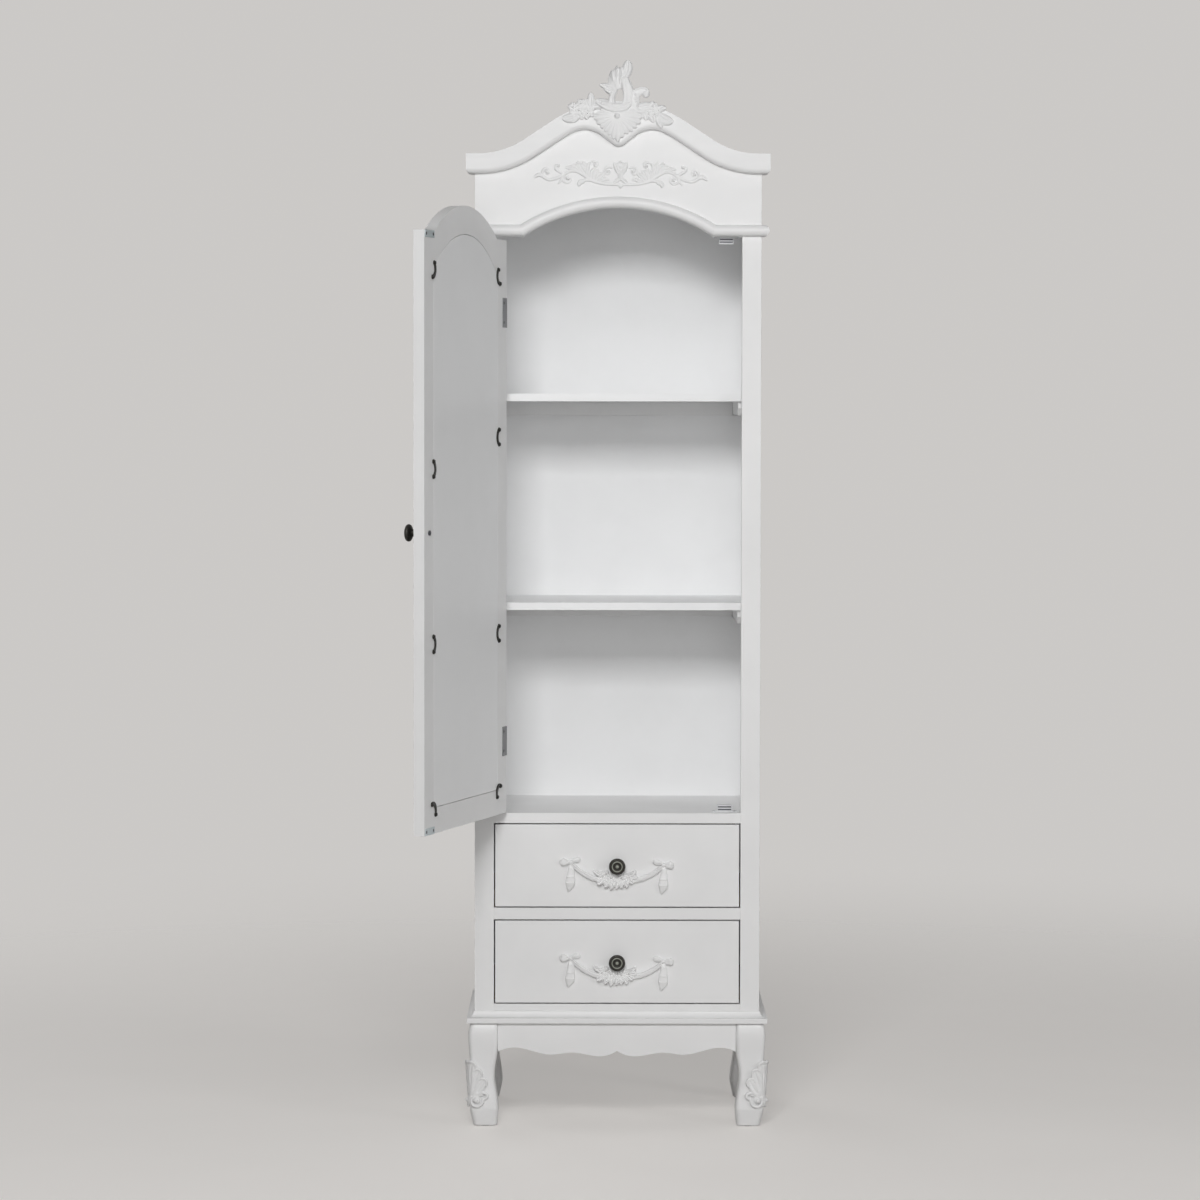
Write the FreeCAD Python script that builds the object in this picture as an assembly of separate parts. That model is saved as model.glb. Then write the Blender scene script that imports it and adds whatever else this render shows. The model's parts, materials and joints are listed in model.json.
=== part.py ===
"""Bonnetiere cabinet: a tall, narrow, painted cupboard with one mirrored door and two drawers.

Millimetres. +X is the viewer's right, +Y runs from the front to the back and +Z is up. The pieces are
modelled about the cabinet's centre plane, with the stiles' front faces at Y = 0 and the floor at Z = 0.
The door is drawn shut and then swung to where it stands at rest. At the end the whole part is set over
the middle of its own box, at floor level.
"""
import FreeCAD, Part
import math
import os

from FreeCAD import Rotation, Vector

# Carcass
BODY_WIDTH = 536.0
BODY_DEPTH = 365.0
SIDE_THICKNESS = 18.0
STILE_WIDTH = 36.0
STILE_THICKNESS = 20.0
BACK_THICKNESS = 6.0
BACK_INSET = 4.0
BACK_REBATE = 9.0
TOP_THICKNESS = 15.0
BOARD_CLEARANCE = 0.2

# Heights of the tiers, from the floor up
LEG_HEIGHT = 197.0
PLINTH_HEIGHT = 22.0
BASE_THICKNESS = 13.0
DRAWER_OPENING = 160.0
DRAWER_RAIL_HEIGHT = 22.0
FLOOR_THICKNESS = 19.0
DOOR_OPENING = 1082.0
FRIEZE_HEIGHT = 116.0
CORNICE_WIDTH = 37.0
PEDIMENT_RISE = 97.0

# Arch over the door opening and the drip moulding that follows it
ARCH_CHORD = 353.0
ARCH_RISE = 52.5
DRIP_HEIGHT = 21.0
DRIP_PROJECTION = 14.0
DRIP_FOOT_DEPTH = 2.0

# Cornice: foot arcs rise through a short straight to the crown arc, with a drop in the middle
CORNICE_OVERHANG = 16.0
CORNICE_END_FLAT = 24.0
CORNICE_RETURN = 40.0
CORNICE_EDGE_RADIUS = 9.0
PEDIMENT_RADII_SHARE = 0.945
CROWN_RADIUS_SHARE = 0.6
PENDANT_DROP = 46.0
PENDANT_TIP_RADIUS = 18.0
PENDANT_SHOULDER_RADIUS = 50.0
PENDANT_SLOPE = 38.0

# Plinth board with a coved edge
PLINTH_OVERHANG = 15.0
PLINTH_LIP = 9.5
PLINTH_TOP_MARGIN = 2.0
PLINTH_COVE_STEPS = 5

# Cabriole legs: outline of the outer and inner sides, from the top down to the toe
LEG_SIZE = 56.0
LEG_SETBACK = 3.0
LEG_CORNER_RADIUS = 8.0
LEG_LEVEL_SHARES = (1.0, 0.935, 0.87, 0.74, 0.62, 0.5, 0.385, 0.265, 0.15, 0.0)
LEG_OUTER_SHARES = (0.91, 0.98, 1.0, 0.975, 0.95, 0.93, 0.925, 0.935, 0.945, 0.76)
LEG_INNER_SHARES = (0.0, 0.0, 0.0, 0.01, 0.06, 0.115, 0.09, 0.025, -0.01, 0.1)
GLIDE_RADIUS = 15.0
GLIDE_HEIGHT = 4.0
GLIDE_EDGE = 1.0

# Carved leaves on the outer corners of the front legs
KNEE_RELIEF = 5.0
KNEE_LENGTH = 92.0
KNEE_WIDTH = 40.0
KNEE_BOTTOM = 36.0
KNEE_CURL_RADIUS = 15.0

# Aprons between the legs, as stations along half the length and depths below the plinth
APRON_HEIGHT = 63.0
APRON_BACK_HEIGHT = 48.0
APRON_THICKNESS = 18.0
APRON_SETBACK = 6.0
APRON_STATION_SHARES = (0.0, 0.143, 0.387, 0.563, 0.815, 1.0)
APRON_DEPTH_SHARES = (0.835, 1.0, 0.889, 0.952, 0.754, 0.857)

# Shelves and their cleats
SHELF_THICKNESS = 14.0
LOWER_SHELF_HEIGHT = 395.0
UPPER_SHELF_HEIGHT = 788.0
SHELF_SETBACK = 30.0
SHELF_CORNER_RADIUS = 14.0
SHELF_CLEARANCE = 0.3
CLEAT_HEIGHT = 26.0
CLEAT_THICKNESS = 24.0
CLEAT_SETBACK = 10.0
CLEAT_BEVEL = 13.0

# Door
DOOR_REST_ANGLE = 107.0
DOOR_THICKNESS = 20.0
DOOR_SIDE_GAP = 2.0
DOOR_BOTTOM_GAP = 2.7
DOOR_TOP_GAP = 9.0
INSERT_SIDE_BORDER = 50.0
INSERT_BOTTOM_BORDER = 46.0
INSERT_TOP_BORDER = 51.0
INSERT_ARCH_RISE = 72.0
REBATE_LIP = 9.0
SIGHT_EDGE_RADIUS = 7.0
GLASS_THICKNESS = 4.0
BACKING_THICKNESS = 4.0
INSERT_CLEARANCE = 1.0

# Crescent clips round the backing board
CLIP_CHORD = 27.0
CLIP_SAGITTA = 9.5
CLIP_WIDTH = 7.0
CLIP_THICKNESS = 2.0
CLIP_EYE_RADIUS = 4.2
CLIP_HOLD = 6.0
CLIP_TOP_TILT = 20.0
CLIP_CORNER_TILT = -45.0
LOCK_SIDE_CLIP_SHARES = (0.306, 0.632)
HINGE_SIDE_CLIP_SHARES = (0.307, 0.69)

# Wrap-round butt hinges
HINGE_HEIGHT = 55.0
HINGE_FROM_END = 135.0
HINGE_LEAF_THICKNESS = 1.2
HINGE_FLAP_WIDTH = 24.0
HINGE_LEAF_DEPTH = 18.0
HINGE_SET_OUT = 4.0
KNUCKLE_RADIUS = 3.5
KNUCKLE_COUNT = 5
KNUCKLE_GAP = 0.3
PIN_RADIUS = 1.5
PIN_CLEARANCE = 0.05
PIN_HEAD_RADIUS = 2.6
PIN_HEAD_HEIGHT = 2.0
HINGE_SCREW_SPACING = 36.0

# Magnetic catches and their strike plates
CATCH_FROM_EDGE = 29.5
CATCH_WIDTH = 28.0
CATCH_HEIGHT = 14.0
CATCH_DEPTH = 14.0
CATCH_EAR_END = 4.0
CATCH_EAR_THICKNESS = 2.0
CATCH_GAP = 0.8
CATCH_SCREW_SPACING = 39.0
POLE_THICKNESS = 2.2
POLE_WIDTH = 25.0
POLE_DEPTH = 9.0
POLE_PROUD = 0.4
POLE_LEVEL_SHARES = (0.36, 0.72)
STRIKE_END = 6.0
STRIKE_HEIGHT = 13.0
STRIKE_THICKNESS = 1.2
STRIKE_SCREW_SPACING = 36.0
CORNER_BLOCK_DEPTH = 40.0
CORNER_BLOCK_HEIGHT = 36.0

# Screws
SCREW_HEAD_RADIUS = 3.0
SCREW_SHANK_RADIUS = 1.4
SCREW_LENGTH = 9.0
SCREW_CLEARANCE = 0.08
PAN_HEAD_HEIGHT = 1.8
RECESS_SPAN = 3.6
RECESS_WIDTH = 0.9
RECESS_DEPTH = 0.8

# Knobs: turned, with a rosette foot, a neck and a ringed head
KNOB_RADIUS = 15.5
KNOB_FOOT_RADIUS = 10.0
KNOB_FOOT_THICKNESS = 2.0
KNOB_NECK_RADIUS = 6.0
KNOB_NECK_END = 11.0
KNOB_RIM_START = 15.0
KNOB_RIM_END = 20.5
KNOB_LENGTH = 24.0
KNOB_RING_RADIUS = 9.0
KNOB_RING_DEPTH = 1.2
KNOB_BORE_DEPTH = 12.0
KNOB_SCREW_RADIUS = 2.0
KNOB_SCREW_HEAD_RADIUS = 4.5
KNOB_SCREW_HEAD_HEIGHT = 2.6
DOOR_KNOB_FROM_EDGE = 25.0
DOOR_KNOB_HEIGHT = 536.0

# Drawers
DRAWER_FRONT_GAP = 2.5
DRAWER_FRONT_THICKNESS = 18.0
DRAWER_LENGTH = 318.0
DRAWER_SIDE_THICKNESS = 12.0
DRAWER_SIDE_HEIGHT = 145.0
DRAWER_SIDE_GAP = 5.0
DRAWER_RUN_CLEARANCE = 0.3
DRAWER_BOTTOM_THICKNESS = 5.0
DRAWER_BOTTOM_LIFT = 12.0
DRAWER_GROOVE = 5.0
GUIDE_CLEARANCE = 1.0
GUIDE_HEIGHT = 26.0
GUIDE_SETBACK = 40.0
BEARER_HEIGHT = 20.0
BEARER_INSIDE = 20.0

# Carved crest on the cornice, as shares of its width and height
CREST_WIDTH = 208.0
CREST_HEIGHT = 147.0
CREST_FOOT_ABOVE_PENDANT = 11.0
CREST_RELIEF = 12.0
CREST_BOSS_RELIEF = 19.0
SHELL_RIBS = 9
SHELL_SPREAD = 64.0
SHELL_LENGTH = 58.0
SHELL_RIB_WIDTH = 15.0
SHELL_RELIEF = 16.0
PEARL_RADIUS = 6.0
CREST_LEAF_SHARES = (
    (-0.10, 0.25, -0.50, 0.26, 0.085), (-0.12, 0.28, -0.42, 0.40, 0.075),
    (-0.10, 0.32, -0.33, 0.48, 0.07), (-0.08, 0.34, -0.24, 0.59, 0.07),
    (-0.10, 0.22, -0.40, 0.17, 0.07), (0.10, 0.25, 0.49, 0.23, 0.085),
    (0.12, 0.28, 0.42, 0.38, 0.075), (0.10, 0.32, 0.36, 0.47, 0.07),
    (0.10, 0.22, 0.40, 0.14, 0.07), (-0.03, 0.38, -0.16, 0.70, 0.085),
    (-0.10, 0.55, 0.00, 0.93, 0.08), (-0.03, 0.74, 0.09, 1.00, 0.075),
    (0.02, 0.80, 0.12, 0.88, 0.05), (-0.07, 0.66, -0.12, 0.82, 0.05),
)
CREST_SCROLL_SHARES = (
    (0.12, 0.56, 0.115, -70.0, 205.0, 0.03), (0.195, 0.605, 0.05, 130.0, -250.0, 0.026),
    (-0.02, 0.55, 0.085, 70.0, 200.0, 0.03),
)

# Carved scrolls on the frieze, as shares of half the width and of the height
FRIEZE_CARVING_WIDTH = 320.0
FRIEZE_CARVING_HEIGHT_SHARE = 0.16
FRIEZE_CARVING_LIFT = 90.0
FRIEZE_CARVING_RELIEF = 6.0
FRIEZE_TUBE_SHARE = 0.0106
FRIEZE_SCROLL_SHARES = (
    (0.30, 0.60, 0.17, 200.0, 150.0), (0.56, 0.30, 0.15, 150.0, -170.0),
    (0.80, 0.58, 0.13, 200.0, 250.0), (0.20, 0.30, 0.10, 90.0, 180.0),
)
FRIEZE_LEAF_SHARES = (
    (0.00, 0.30, 0.00, 1.00, 0.26), (0.00, 0.35, 0.16, 0.86, 0.16), (0.02, 0.30, 0.26, 0.58, 0.14),
    (0.00, 0.40, 0.14, 0.05, 0.16), (0.38, 0.42, 0.50, 0.86, 0.12), (0.42, 0.48, 0.64, 0.62, 0.12),
    (0.66, 0.42, 0.72, 0.05, 0.12), (0.80, 0.34, 1.00, 0.22, 0.12),
)

# Swag on each drawer front, as shares of its width
SWAG_WIDTH = 212.0
SWAG_SAG = 38.0
SWAG_SPAN_SHARE = 0.76
SWAG_TUBE = 4.0
SWAG_RELIEF = 6.0
SWAG_DROP = 4.0
TASSEL_LENGTH = 50.0
TASSEL_WIDTH = 11.0
BOW_SHARES = ((0.41, 0.0, 0.31, 0.045, 0.06), (0.41, 0.0, 0.50, 0.035, 0.06), (0.41, 0.0, 0.33, -0.05, 0.05))
BLOOM_SHARES = ((0.0, -0.155, 0.07), (0.085, -0.135, 0.05), (0.155, -0.105, 0.035), (0.05, -0.20, 0.035))

# Cutting tools reach this far past what they cut
OVERRUN = 2.0

# Levels worked out from the tiers
PLINTH_TOP = LEG_HEIGHT + PLINTH_HEIGHT
BASE_TOP = PLINTH_TOP + BASE_THICKNESS
RAIL_BOTTOM = BASE_TOP + DRAWER_OPENING
RAIL_TOP = RAIL_BOTTOM + DRAWER_RAIL_HEIGHT
FLOOR_BOTTOM = RAIL_TOP + DRAWER_OPENING
FLOOR_TOP = FLOOR_BOTTOM + FLOOR_THICKNESS
FRIEZE_BOTTOM = FLOOR_TOP + DOOR_OPENING
CORNICE_BOTTOM = FRIEZE_BOTTOM + FRIEZE_HEIGHT
CORNICE_TOP = CORNICE_BOTTOM + CORNICE_WIDTH
HALF_BODY = BODY_WIDTH / 2
HALF_OPENING = HALF_BODY - STILE_WIDTH
HALF_INSIDE = HALF_BODY - SIDE_THICKNESS
BACK_FRONT = BODY_DEPTH - BACK_INSET - BACK_THICKNESS
SIDE_TOP = CORNICE_TOP - TOP_THICKNESS
ARCH_RADIUS = ((ARCH_CHORD / 2) ** 2 + ARCH_RISE ** 2) / (2 * ARCH_RISE)
ARCH_CENTRE = FRIEZE_BOTTOM + ARCH_RISE - ARCH_RADIUS
DOOR_HALF_WIDTH = HALF_OPENING - DOOR_SIDE_GAP
DOOR_BOTTOM = FLOOR_TOP + DOOR_BOTTOM_GAP
DOOR_SHOULDER = FRIEZE_BOTTOM - DOOR_TOP_GAP
DOOR_APEX = FRIEZE_BOTTOM + ARCH_RISE - DOOR_TOP_GAP
INSERT_HALF_WIDTH = DOOR_HALF_WIDTH - INSERT_SIDE_BORDER
INSERT_BOTTOM = DOOR_BOTTOM + INSERT_BOTTOM_BORDER
INSERT_APEX = DOOR_APEX - INSERT_TOP_BORDER
INSERT_SPRING = INSERT_APEX - INSERT_ARCH_RISE
INSERT_RADIUS = (INSERT_HALF_WIDTH ** 2 + INSERT_ARCH_RISE ** 2) / (2 * INSERT_ARCH_RISE)
GLASS_FRONT = DOOR_THICKNESS - BACKING_THICKNESS - GLASS_THICKNESS
HINGE_AXIS = Vector(-HALF_OPENING + DOOR_SIDE_GAP / 2, -HINGE_SET_OUT, 0)
HINGE_LEVELS = (DOOR_BOTTOM + HINGE_FROM_END, DOOR_SHOULDER - HINGE_FROM_END)
CATCH_X = HALF_OPENING - CATCH_FROM_EDGE
CATCH_FRONT = DOOR_THICKNESS + STRIKE_THICKNESS + CATCH_GAP
LEFT = -1
RIGHT = 1


# Small geometry helpers

def box(x_range, y_range, z_range):
    """A box between two values on each axis."""
    size = [high - low for low, high in (x_range, y_range, z_range)]
    return Part.makeBox(*size, Vector(x_range[0], y_range[0], z_range[0]))


def mirrored(shape):
    """The shape on the other side of the cabinet's centre plane."""
    return shape.mirror(Vector(), Vector(1, 0, 0))


def point(x, z):
    """A point of an outline drawn in the plane Y = 0."""
    return Vector(x, 0, z)


def polar(centre, radius, angle):
    """The point of a circle in the plane Y = 0 at an angle in radians from +X towards +Z."""
    return centre + point(radius * math.cos(angle), radius * math.sin(angle))


def arc(centre, radius, start, end):
    """An arc in the plane Y = 0 between two angles in radians."""
    stations = [polar(centre, radius, angle) for angle in (start, (start + end) / 2, end)]
    return Part.Arc(*stations).toShape()


def line(start, end):
    """A straight edge."""
    return Part.LineSegment(start, end).toShape()


def prism(edges, front, back):
    """The solid between two planes whose outline in the plane Y = 0 is made of these edges."""
    outline = Part.Wire(Part.__sortEdges__(edges))
    return Part.Face(outline).extrude(Vector(0, back - front, 0)).translated(Vector(0, front, 0))


def polygon(points):
    """The straight edges round a closed outline."""
    return [line(start, end) for start, end in zip(points, points[1:] + points[:1])]


def trimmed(shape, place, outward):
    """The shape without what lies past a plane, on the side that outward points to."""
    reach = shape.BoundBox.DiagonalLength + (shape.BoundBox.Center - place).Length
    half_space = Part.makeBox(2 * reach, 2 * reach, reach, Vector(-reach, -reach, 0))
    half_space.Placement = FreeCAD.Placement(place, Rotation(Vector(0, 0, 1), outward)) * half_space.Placement
    return shape.cut(half_space)


def cylinder(start, end, radius):
    """A round bar between two points."""
    return Part.makeCylinder(radius, (end - start).Length, start, end - start)


def fused(shapes):
    """One solid out of shapes that meet."""
    return shapes[0].multiFuse(shapes[1:]).removeSplitter()


def cross_recess(face, inward):
    """The driver's cross, as a cutting tool at the middle of a screw head's face."""
    arms = []
    for length, width in ((RECESS_SPAN, RECESS_WIDTH), (RECESS_WIDTH, RECESS_SPAN)):
        corner = Vector(-length / 2, -width / 2, -RECESS_DEPTH)
        arms.append(Part.makeBox(length, width, 2 * RECESS_DEPTH, corner))
    cross = fused(arms)
    cross.Placement = FreeCAD.Placement(face, Rotation(Vector(0, 0, 1), inward))
    return cross


def screw(place, inward, head_height, sunk, extra=0.0):
    """A screw driven inward at a place on a surface; extra widens it into the tool that cuts its hole."""
    head_depth = sunk * head_height
    face = place - inward * (head_height - head_depth)
    head = cylinder(face, place + inward * head_depth, SCREW_HEAD_RADIUS + extra)
    shank = cylinder(place, place + inward * (SCREW_LENGTH + extra), SCREW_SHANK_RADIUS + extra)
    body = fused([head, shank])
    return body if extra else body.cut(cross_recess(face, inward))


def leaf(base, tip, width, relief):
    """A pointed leaf between two points, standing in front of the plane Y = 0."""
    across = Vector(tip.z - base.z, 0, base.x - tip.x).normalize() * (width / 2)
    middle = (base + tip) / 2
    sides = [Part.Arc(base, middle + across, tip).toShape(), Part.Arc(tip, middle - across, base).toShape()]
    return prism(sides, -relief, 0)


def scroll(centre, radius, start, sweep, tube):
    """A half-round scroll in front of the plane Y = 0, with a rounded boss at its far end."""
    heading = polar(point(0, 0), 1, start + math.pi / 2)
    section = Part.Face(Part.Wire(Part.makeCircle(tube, polar(centre, radius, start), heading)))
    bar = section.revolve(centre, Vector(0, -1, 0), math.degrees(sweep))
    boss = Part.makeSphere(tube, polar(centre, radius, start + sweep))
    return trimmed(fused([bar, boss]), Vector(), Vector(0, 1, 0))


def dome(centre, radius, relief):
    """A round bloom in front of the plane Y = 0."""
    ball_radius = (radius ** 2 + relief ** 2) / (2 * relief)
    ball = Part.makeSphere(ball_radius, centre + Vector(0, ball_radius - relief, 0))
    return trimmed(ball, Vector(), Vector(0, 1, 0))


# Carcass

def side_panel():
    """The right side, rebated at the rear for the back panel."""
    board = box((HALF_INSIDE, HALF_BODY), (STILE_THICKNESS, BODY_DEPTH), (PLINTH_TOP, SIDE_TOP))
    rebate = box((HALF_INSIDE - OVERRUN, HALF_INSIDE + BACK_REBATE), (BACK_FRONT, BODY_DEPTH + OVERRUN),
                 (PLINTH_TOP - OVERRUN, SIDE_TOP + OVERRUN))
    return board.cut(rebate)


def stile():
    """The right front stile."""
    return box((HALF_OPENING, HALF_BODY), (0, STILE_THICKNESS), (PLINTH_TOP, FRIEZE_BOTTOM))


def back_panel():
    """The thin back, set in the rebates of the sides."""
    half = HALF_INSIDE + BACK_REBATE - BOARD_CLEARANCE
    return box((-half, half), (BACK_FRONT, BACK_FRONT + BACK_THICKNESS), (PLINTH_TOP, SIDE_TOP))


def top_panel():
    """The dust board on top, behind the frieze."""
    return box((-HALF_BODY, HALF_BODY), (STILE_THICKNESS, BODY_DEPTH), (SIDE_TOP, CORNICE_TOP))


def notched_board(bottom, top):
    """A board between the sides whose front edge stands between the stiles as a rail."""
    board = box((-HALF_INSIDE, HALF_INSIDE), (STILE_THICKNESS, BACK_FRONT), (bottom, top))
    rail = box((-HALF_OPENING, HALF_OPENING), (0, STILE_THICKNESS), (bottom, top))
    return fused([board, rail])


def drawer_rail():
    """The rail between the two drawers."""
    return box((-HALF_OPENING, HALF_OPENING), (0, STILE_THICKNESS), (RAIL_BOTTOM, RAIL_TOP))


def drawer_bearers():
    """Bearers with guides for the upper drawer, and plain guides on the base panel for the lower one."""
    guide_inside = HALF_OPENING - DRAWER_SIDE_GAP + GUIDE_CLEARANCE
    run = (STILE_THICKNESS + GUIDE_SETBACK, BACK_FRONT)
    bearer = box((HALF_OPENING - BEARER_INSIDE, HALF_INSIDE), (STILE_THICKNESS, BACK_FRONT),
                 (RAIL_TOP - BEARER_HEIGHT, RAIL_TOP))
    upper_guide = box((guide_inside, HALF_INSIDE), run, (RAIL_TOP, RAIL_TOP + GUIDE_HEIGHT))
    lower_guide = box((guide_inside, HALF_INSIDE), run, (BASE_TOP, BASE_TOP + GUIDE_HEIGHT))
    right = [fused([bearer, upper_guide]), lower_guide]
    return Part.makeCompound(right + [mirrored(shape) for shape in right])


# Pediment

def pediment():
    """The pediment's arcs: crown centre and radius, foot centre and radius, and the straight's slope."""
    run = HALF_BODY + CORNICE_OVERHANG - CORNICE_END_FLAT
    radius_sum = PEDIMENT_RADII_SHARE * (run ** 2 + PEDIMENT_RISE ** 2) / (2 * PEDIMENT_RISE)
    crown_radius = CROWN_RADIUS_SHARE * radius_sum
    foot_radius = radius_sum - crown_radius
    crown = point(0, CORNICE_TOP + PEDIMENT_RISE - crown_radius)
    foot = point(run, CORNICE_TOP + foot_radius)
    height = radius_sum - PEDIMENT_RISE
    slope = math.atan2(run, height) - math.acos(radius_sum / math.hypot(run, height))
    return crown, crown_radius, foot, foot_radius, slope


def cornice_flank(inset):
    """The right flank of the pediment's outline, this far inside its top edge, without the crown arc."""
    crown, crown_radius, foot, foot_radius, slope = pediment()
    crown_end = polar(crown, crown_radius - inset, math.pi / 2 - slope)
    foot_start = polar(foot, foot_radius + inset, -math.pi / 2 - slope)
    foot_end = polar(foot, foot_radius + inset, -math.pi / 2)
    end = point(HALF_BODY + CORNICE_OVERHANG, CORNICE_TOP - inset)
    foot_arc = arc(foot, foot_radius + inset, -math.pi / 2 - slope, -math.pi / 2)
    return [line(crown_end, foot_start), foot_arc, line(foot_end, end)]


def crown_top():
    """The crown arc of the pediment's top edge."""
    crown, crown_radius, _, _, slope = pediment()
    return arc(crown, crown_radius, math.pi / 2 + slope, math.pi / 2 - slope)


def pendant_tip():
    """The lowest point of the drop in the middle of the cornice."""
    crown, crown_radius, _, _, _ = pediment()
    return crown + point(0, crown_radius - CORNICE_WIDTH - PENDANT_DROP)


def pendant_flank():
    """The right half of the cornice's lower edge from its middle drop out to the end of the crown arc."""
    crown, crown_radius, _, _, slope = pediment()
    lower_radius = crown_radius - CORNICE_WIDTH
    lean = math.radians(PENDANT_SLOPE)
    along = point(math.cos(lean), math.sin(lean))
    below = point(math.sin(lean), -math.cos(lean))
    tip_centre = pendant_tip() + point(0, PENDANT_TIP_RADIUS)
    tip_end = polar(tip_centre, PENDANT_TIP_RADIUS, lean - math.pi / 2)
    reach = tip_end + below * PENDANT_SHOULDER_RADIUS - crown
    spread = reach.dot(along)
    clear = (lower_radius - PENDANT_SHOULDER_RADIUS) ** 2
    travel = math.sqrt(spread ** 2 + clear - reach.Length ** 2) - spread
    shoulder = crown + reach + along * travel
    shoulder_end = math.atan2(shoulder.z - crown.z, shoulder.x - crown.x)
    return [
        arc(tip_centre, PENDANT_TIP_RADIUS, -math.pi / 2, lean - math.pi / 2),
        line(tip_end, tip_end + along * travel),
        arc(shoulder, PENDANT_SHOULDER_RADIUS, lean + math.pi / 2, shoulder_end),
        arc(crown, lower_radius, shoulder_end, math.pi / 2 - slope),
    ]


def frieze_board():
    """The board over the door: arched below, and cut to the pediment's curve on top."""
    half_chord = ARCH_CHORD / 2
    reach = HALF_BODY + CORNICE_OVERHANG
    spread = math.asin(half_chord / ARCH_RADIUS)
    flank = cornice_flank(0)
    flank += [line(point(half_chord, FRIEZE_BOTTOM), point(reach, FRIEZE_BOTTOM)),
              line(point(reach, FRIEZE_BOTTOM), point(reach, CORNICE_TOP))]
    edges = flank + [mirrored(edge) for edge in flank]
    edges += [crown_top(),
              arc(point(0, ARCH_CENTRE), ARCH_RADIUS, math.pi / 2 + spread, math.pi / 2 - spread)]
    board = prism(edges, 0, STILE_THICKNESS)
    top = CORNICE_TOP + PEDIMENT_RISE
    return board.common(box((-HALF_BODY, HALF_BODY), (0, STILE_THICKNESS), (FRIEZE_BOTTOM, top)))


def mitred_front(shape):
    """A front moulding cut at both ends to meet the returns."""
    for side in (LEFT, RIGHT):
        shape = trimmed(shape, Vector(side * HALF_BODY, 0, 0), Vector(side, 1, 0))
    return shape


def cornice_front():
    """The serpentine cornice across the front, with its lower front edge rounded over."""
    below = pendant_flank() + cornice_flank(CORNICE_WIDTH)
    below += [mirrored(edge) for edge in below]
    above = cornice_flank(0)
    above += [mirrored(edge) for edge in above]
    reach = HALF_BODY + CORNICE_OVERHANG
    ends = [line(point(side * reach, CORNICE_BOTTOM), point(side * reach, CORNICE_TOP))
            for side in (LEFT, RIGHT)]
    solid = prism(above + below + ends + [crown_top()], -CORNICE_OVERHANG, 0)
    lower_front = Part.makeCompound(below).translated(Vector(0, -CORNICE_OVERHANG, 0))
    rounded = [edge for edge in solid.Edges if lower_front.distToShape(Part.Vertex(edge.CenterOfMass))[0]
               < BOARD_CLEARANCE and edge.BoundBox.YMax < -CORNICE_OVERHANG / 2]
    return mitred_front(solid.makeFillet(CORNICE_EDGE_RADIUS, rounded))


def cornice_returns():
    """The cornice's two short returns, which turn its corners and stop on the sides."""
    reach = HALF_BODY + CORNICE_OVERHANG
    bar = box((HALF_BODY, reach), (-CORNICE_OVERHANG, CORNICE_RETURN), (CORNICE_BOTTOM, CORNICE_TOP))
    lower = [edge for edge in bar.Edges if edge.BoundBox.XMin > reach - BOARD_CLEARANCE
             and edge.BoundBox.ZMax < CORNICE_BOTTOM + BOARD_CLEARANCE]
    bar = bar.makeFillet(CORNICE_EDGE_RADIUS, lower)
    bar = trimmed(bar, Vector(HALF_BODY, 0, 0), Vector(-1, -1, 0))
    return Part.makeCompound([bar, mirrored(bar)])


def drip_section(place, up, out):
    """The half-round section of the drip moulding, standing at a place against its board."""
    back = [place, place + up * DRIP_HEIGHT]
    front = [place + out * DRIP_FOOT_DEPTH, place + up * DRIP_HEIGHT + out * DRIP_FOOT_DEPTH]
    nose = place + up * (DRIP_HEIGHT / 2) + out * DRIP_PROJECTION
    edges = [line(back[0], back[1]), line(back[1], front[1]), Part.Arc(front[1], nose, front[0]).toShape(),
             line(front[0], back[0])]
    return Part.Face(Part.Wire(edges))


def drip_moulding():
    """The moulding over the door: an arched length, two shoulders and two returns, all mitred."""
    up = Vector(0, 0, 1)
    half_chord = ARCH_CHORD / 2
    spread = math.asin(half_chord / ARCH_RADIUS)
    corner = point(half_chord, FRIEZE_BOTTOM)
    mitre = Vector(math.cos(spread / 2), 0, -math.sin(spread / 2))
    wide = 2 * spread
    section = drip_section(polar(point(0, ARCH_CENTRE), ARCH_RADIUS, math.pi / 2 + wide),
                           polar(point(0, 0), 1, math.pi / 2 + wide), Vector(0, -1, 0))
    bow = section.revolve(point(0, ARCH_CENTRE), Vector(0, 1, 0), math.degrees(2 * wide))
    bow = trimmed(bow, corner, mitre)
    bow = trimmed(bow, Vector(-corner.x, 0, corner.z), Vector(-mitre.x, 0, mitre.z))
    reach = HALF_BODY + DRIP_PROJECTION
    shoulder = drip_section(point(0, FRIEZE_BOTTOM), up, Vector(0, -1, 0)).extrude(Vector(reach, 0, 0))
    shoulder = trimmed(mitred_front(shoulder), corner, mitre * -1)
    side = drip_section(Vector(HALF_BODY, -DRIP_PROJECTION, FRIEZE_BOTTOM), up, Vector(1, 0, 0))
    side = side.extrude(Vector(0, CORNICE_RETURN + DRIP_PROJECTION, 0))
    side = trimmed(side, Vector(HALF_BODY, 0, 0), Vector(-1, -1, 0))
    return Part.makeCompound([bow, shoulder, mirrored(shoulder), side, mirrored(side)])


def corner_blocks():
    """Glue blocks behind the frieze's shoulders; the right one carries the upper catch."""
    block = box((ARCH_CHORD / 2, HALF_INSIDE),
                (STILE_THICKNESS, STILE_THICKNESS + CORNER_BLOCK_DEPTH),
                (FRIEZE_BOTTOM, FRIEZE_BOTTOM + CORNER_BLOCK_HEIGHT))
    return Part.makeCompound([block, mirrored(block)])


# Base

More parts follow.
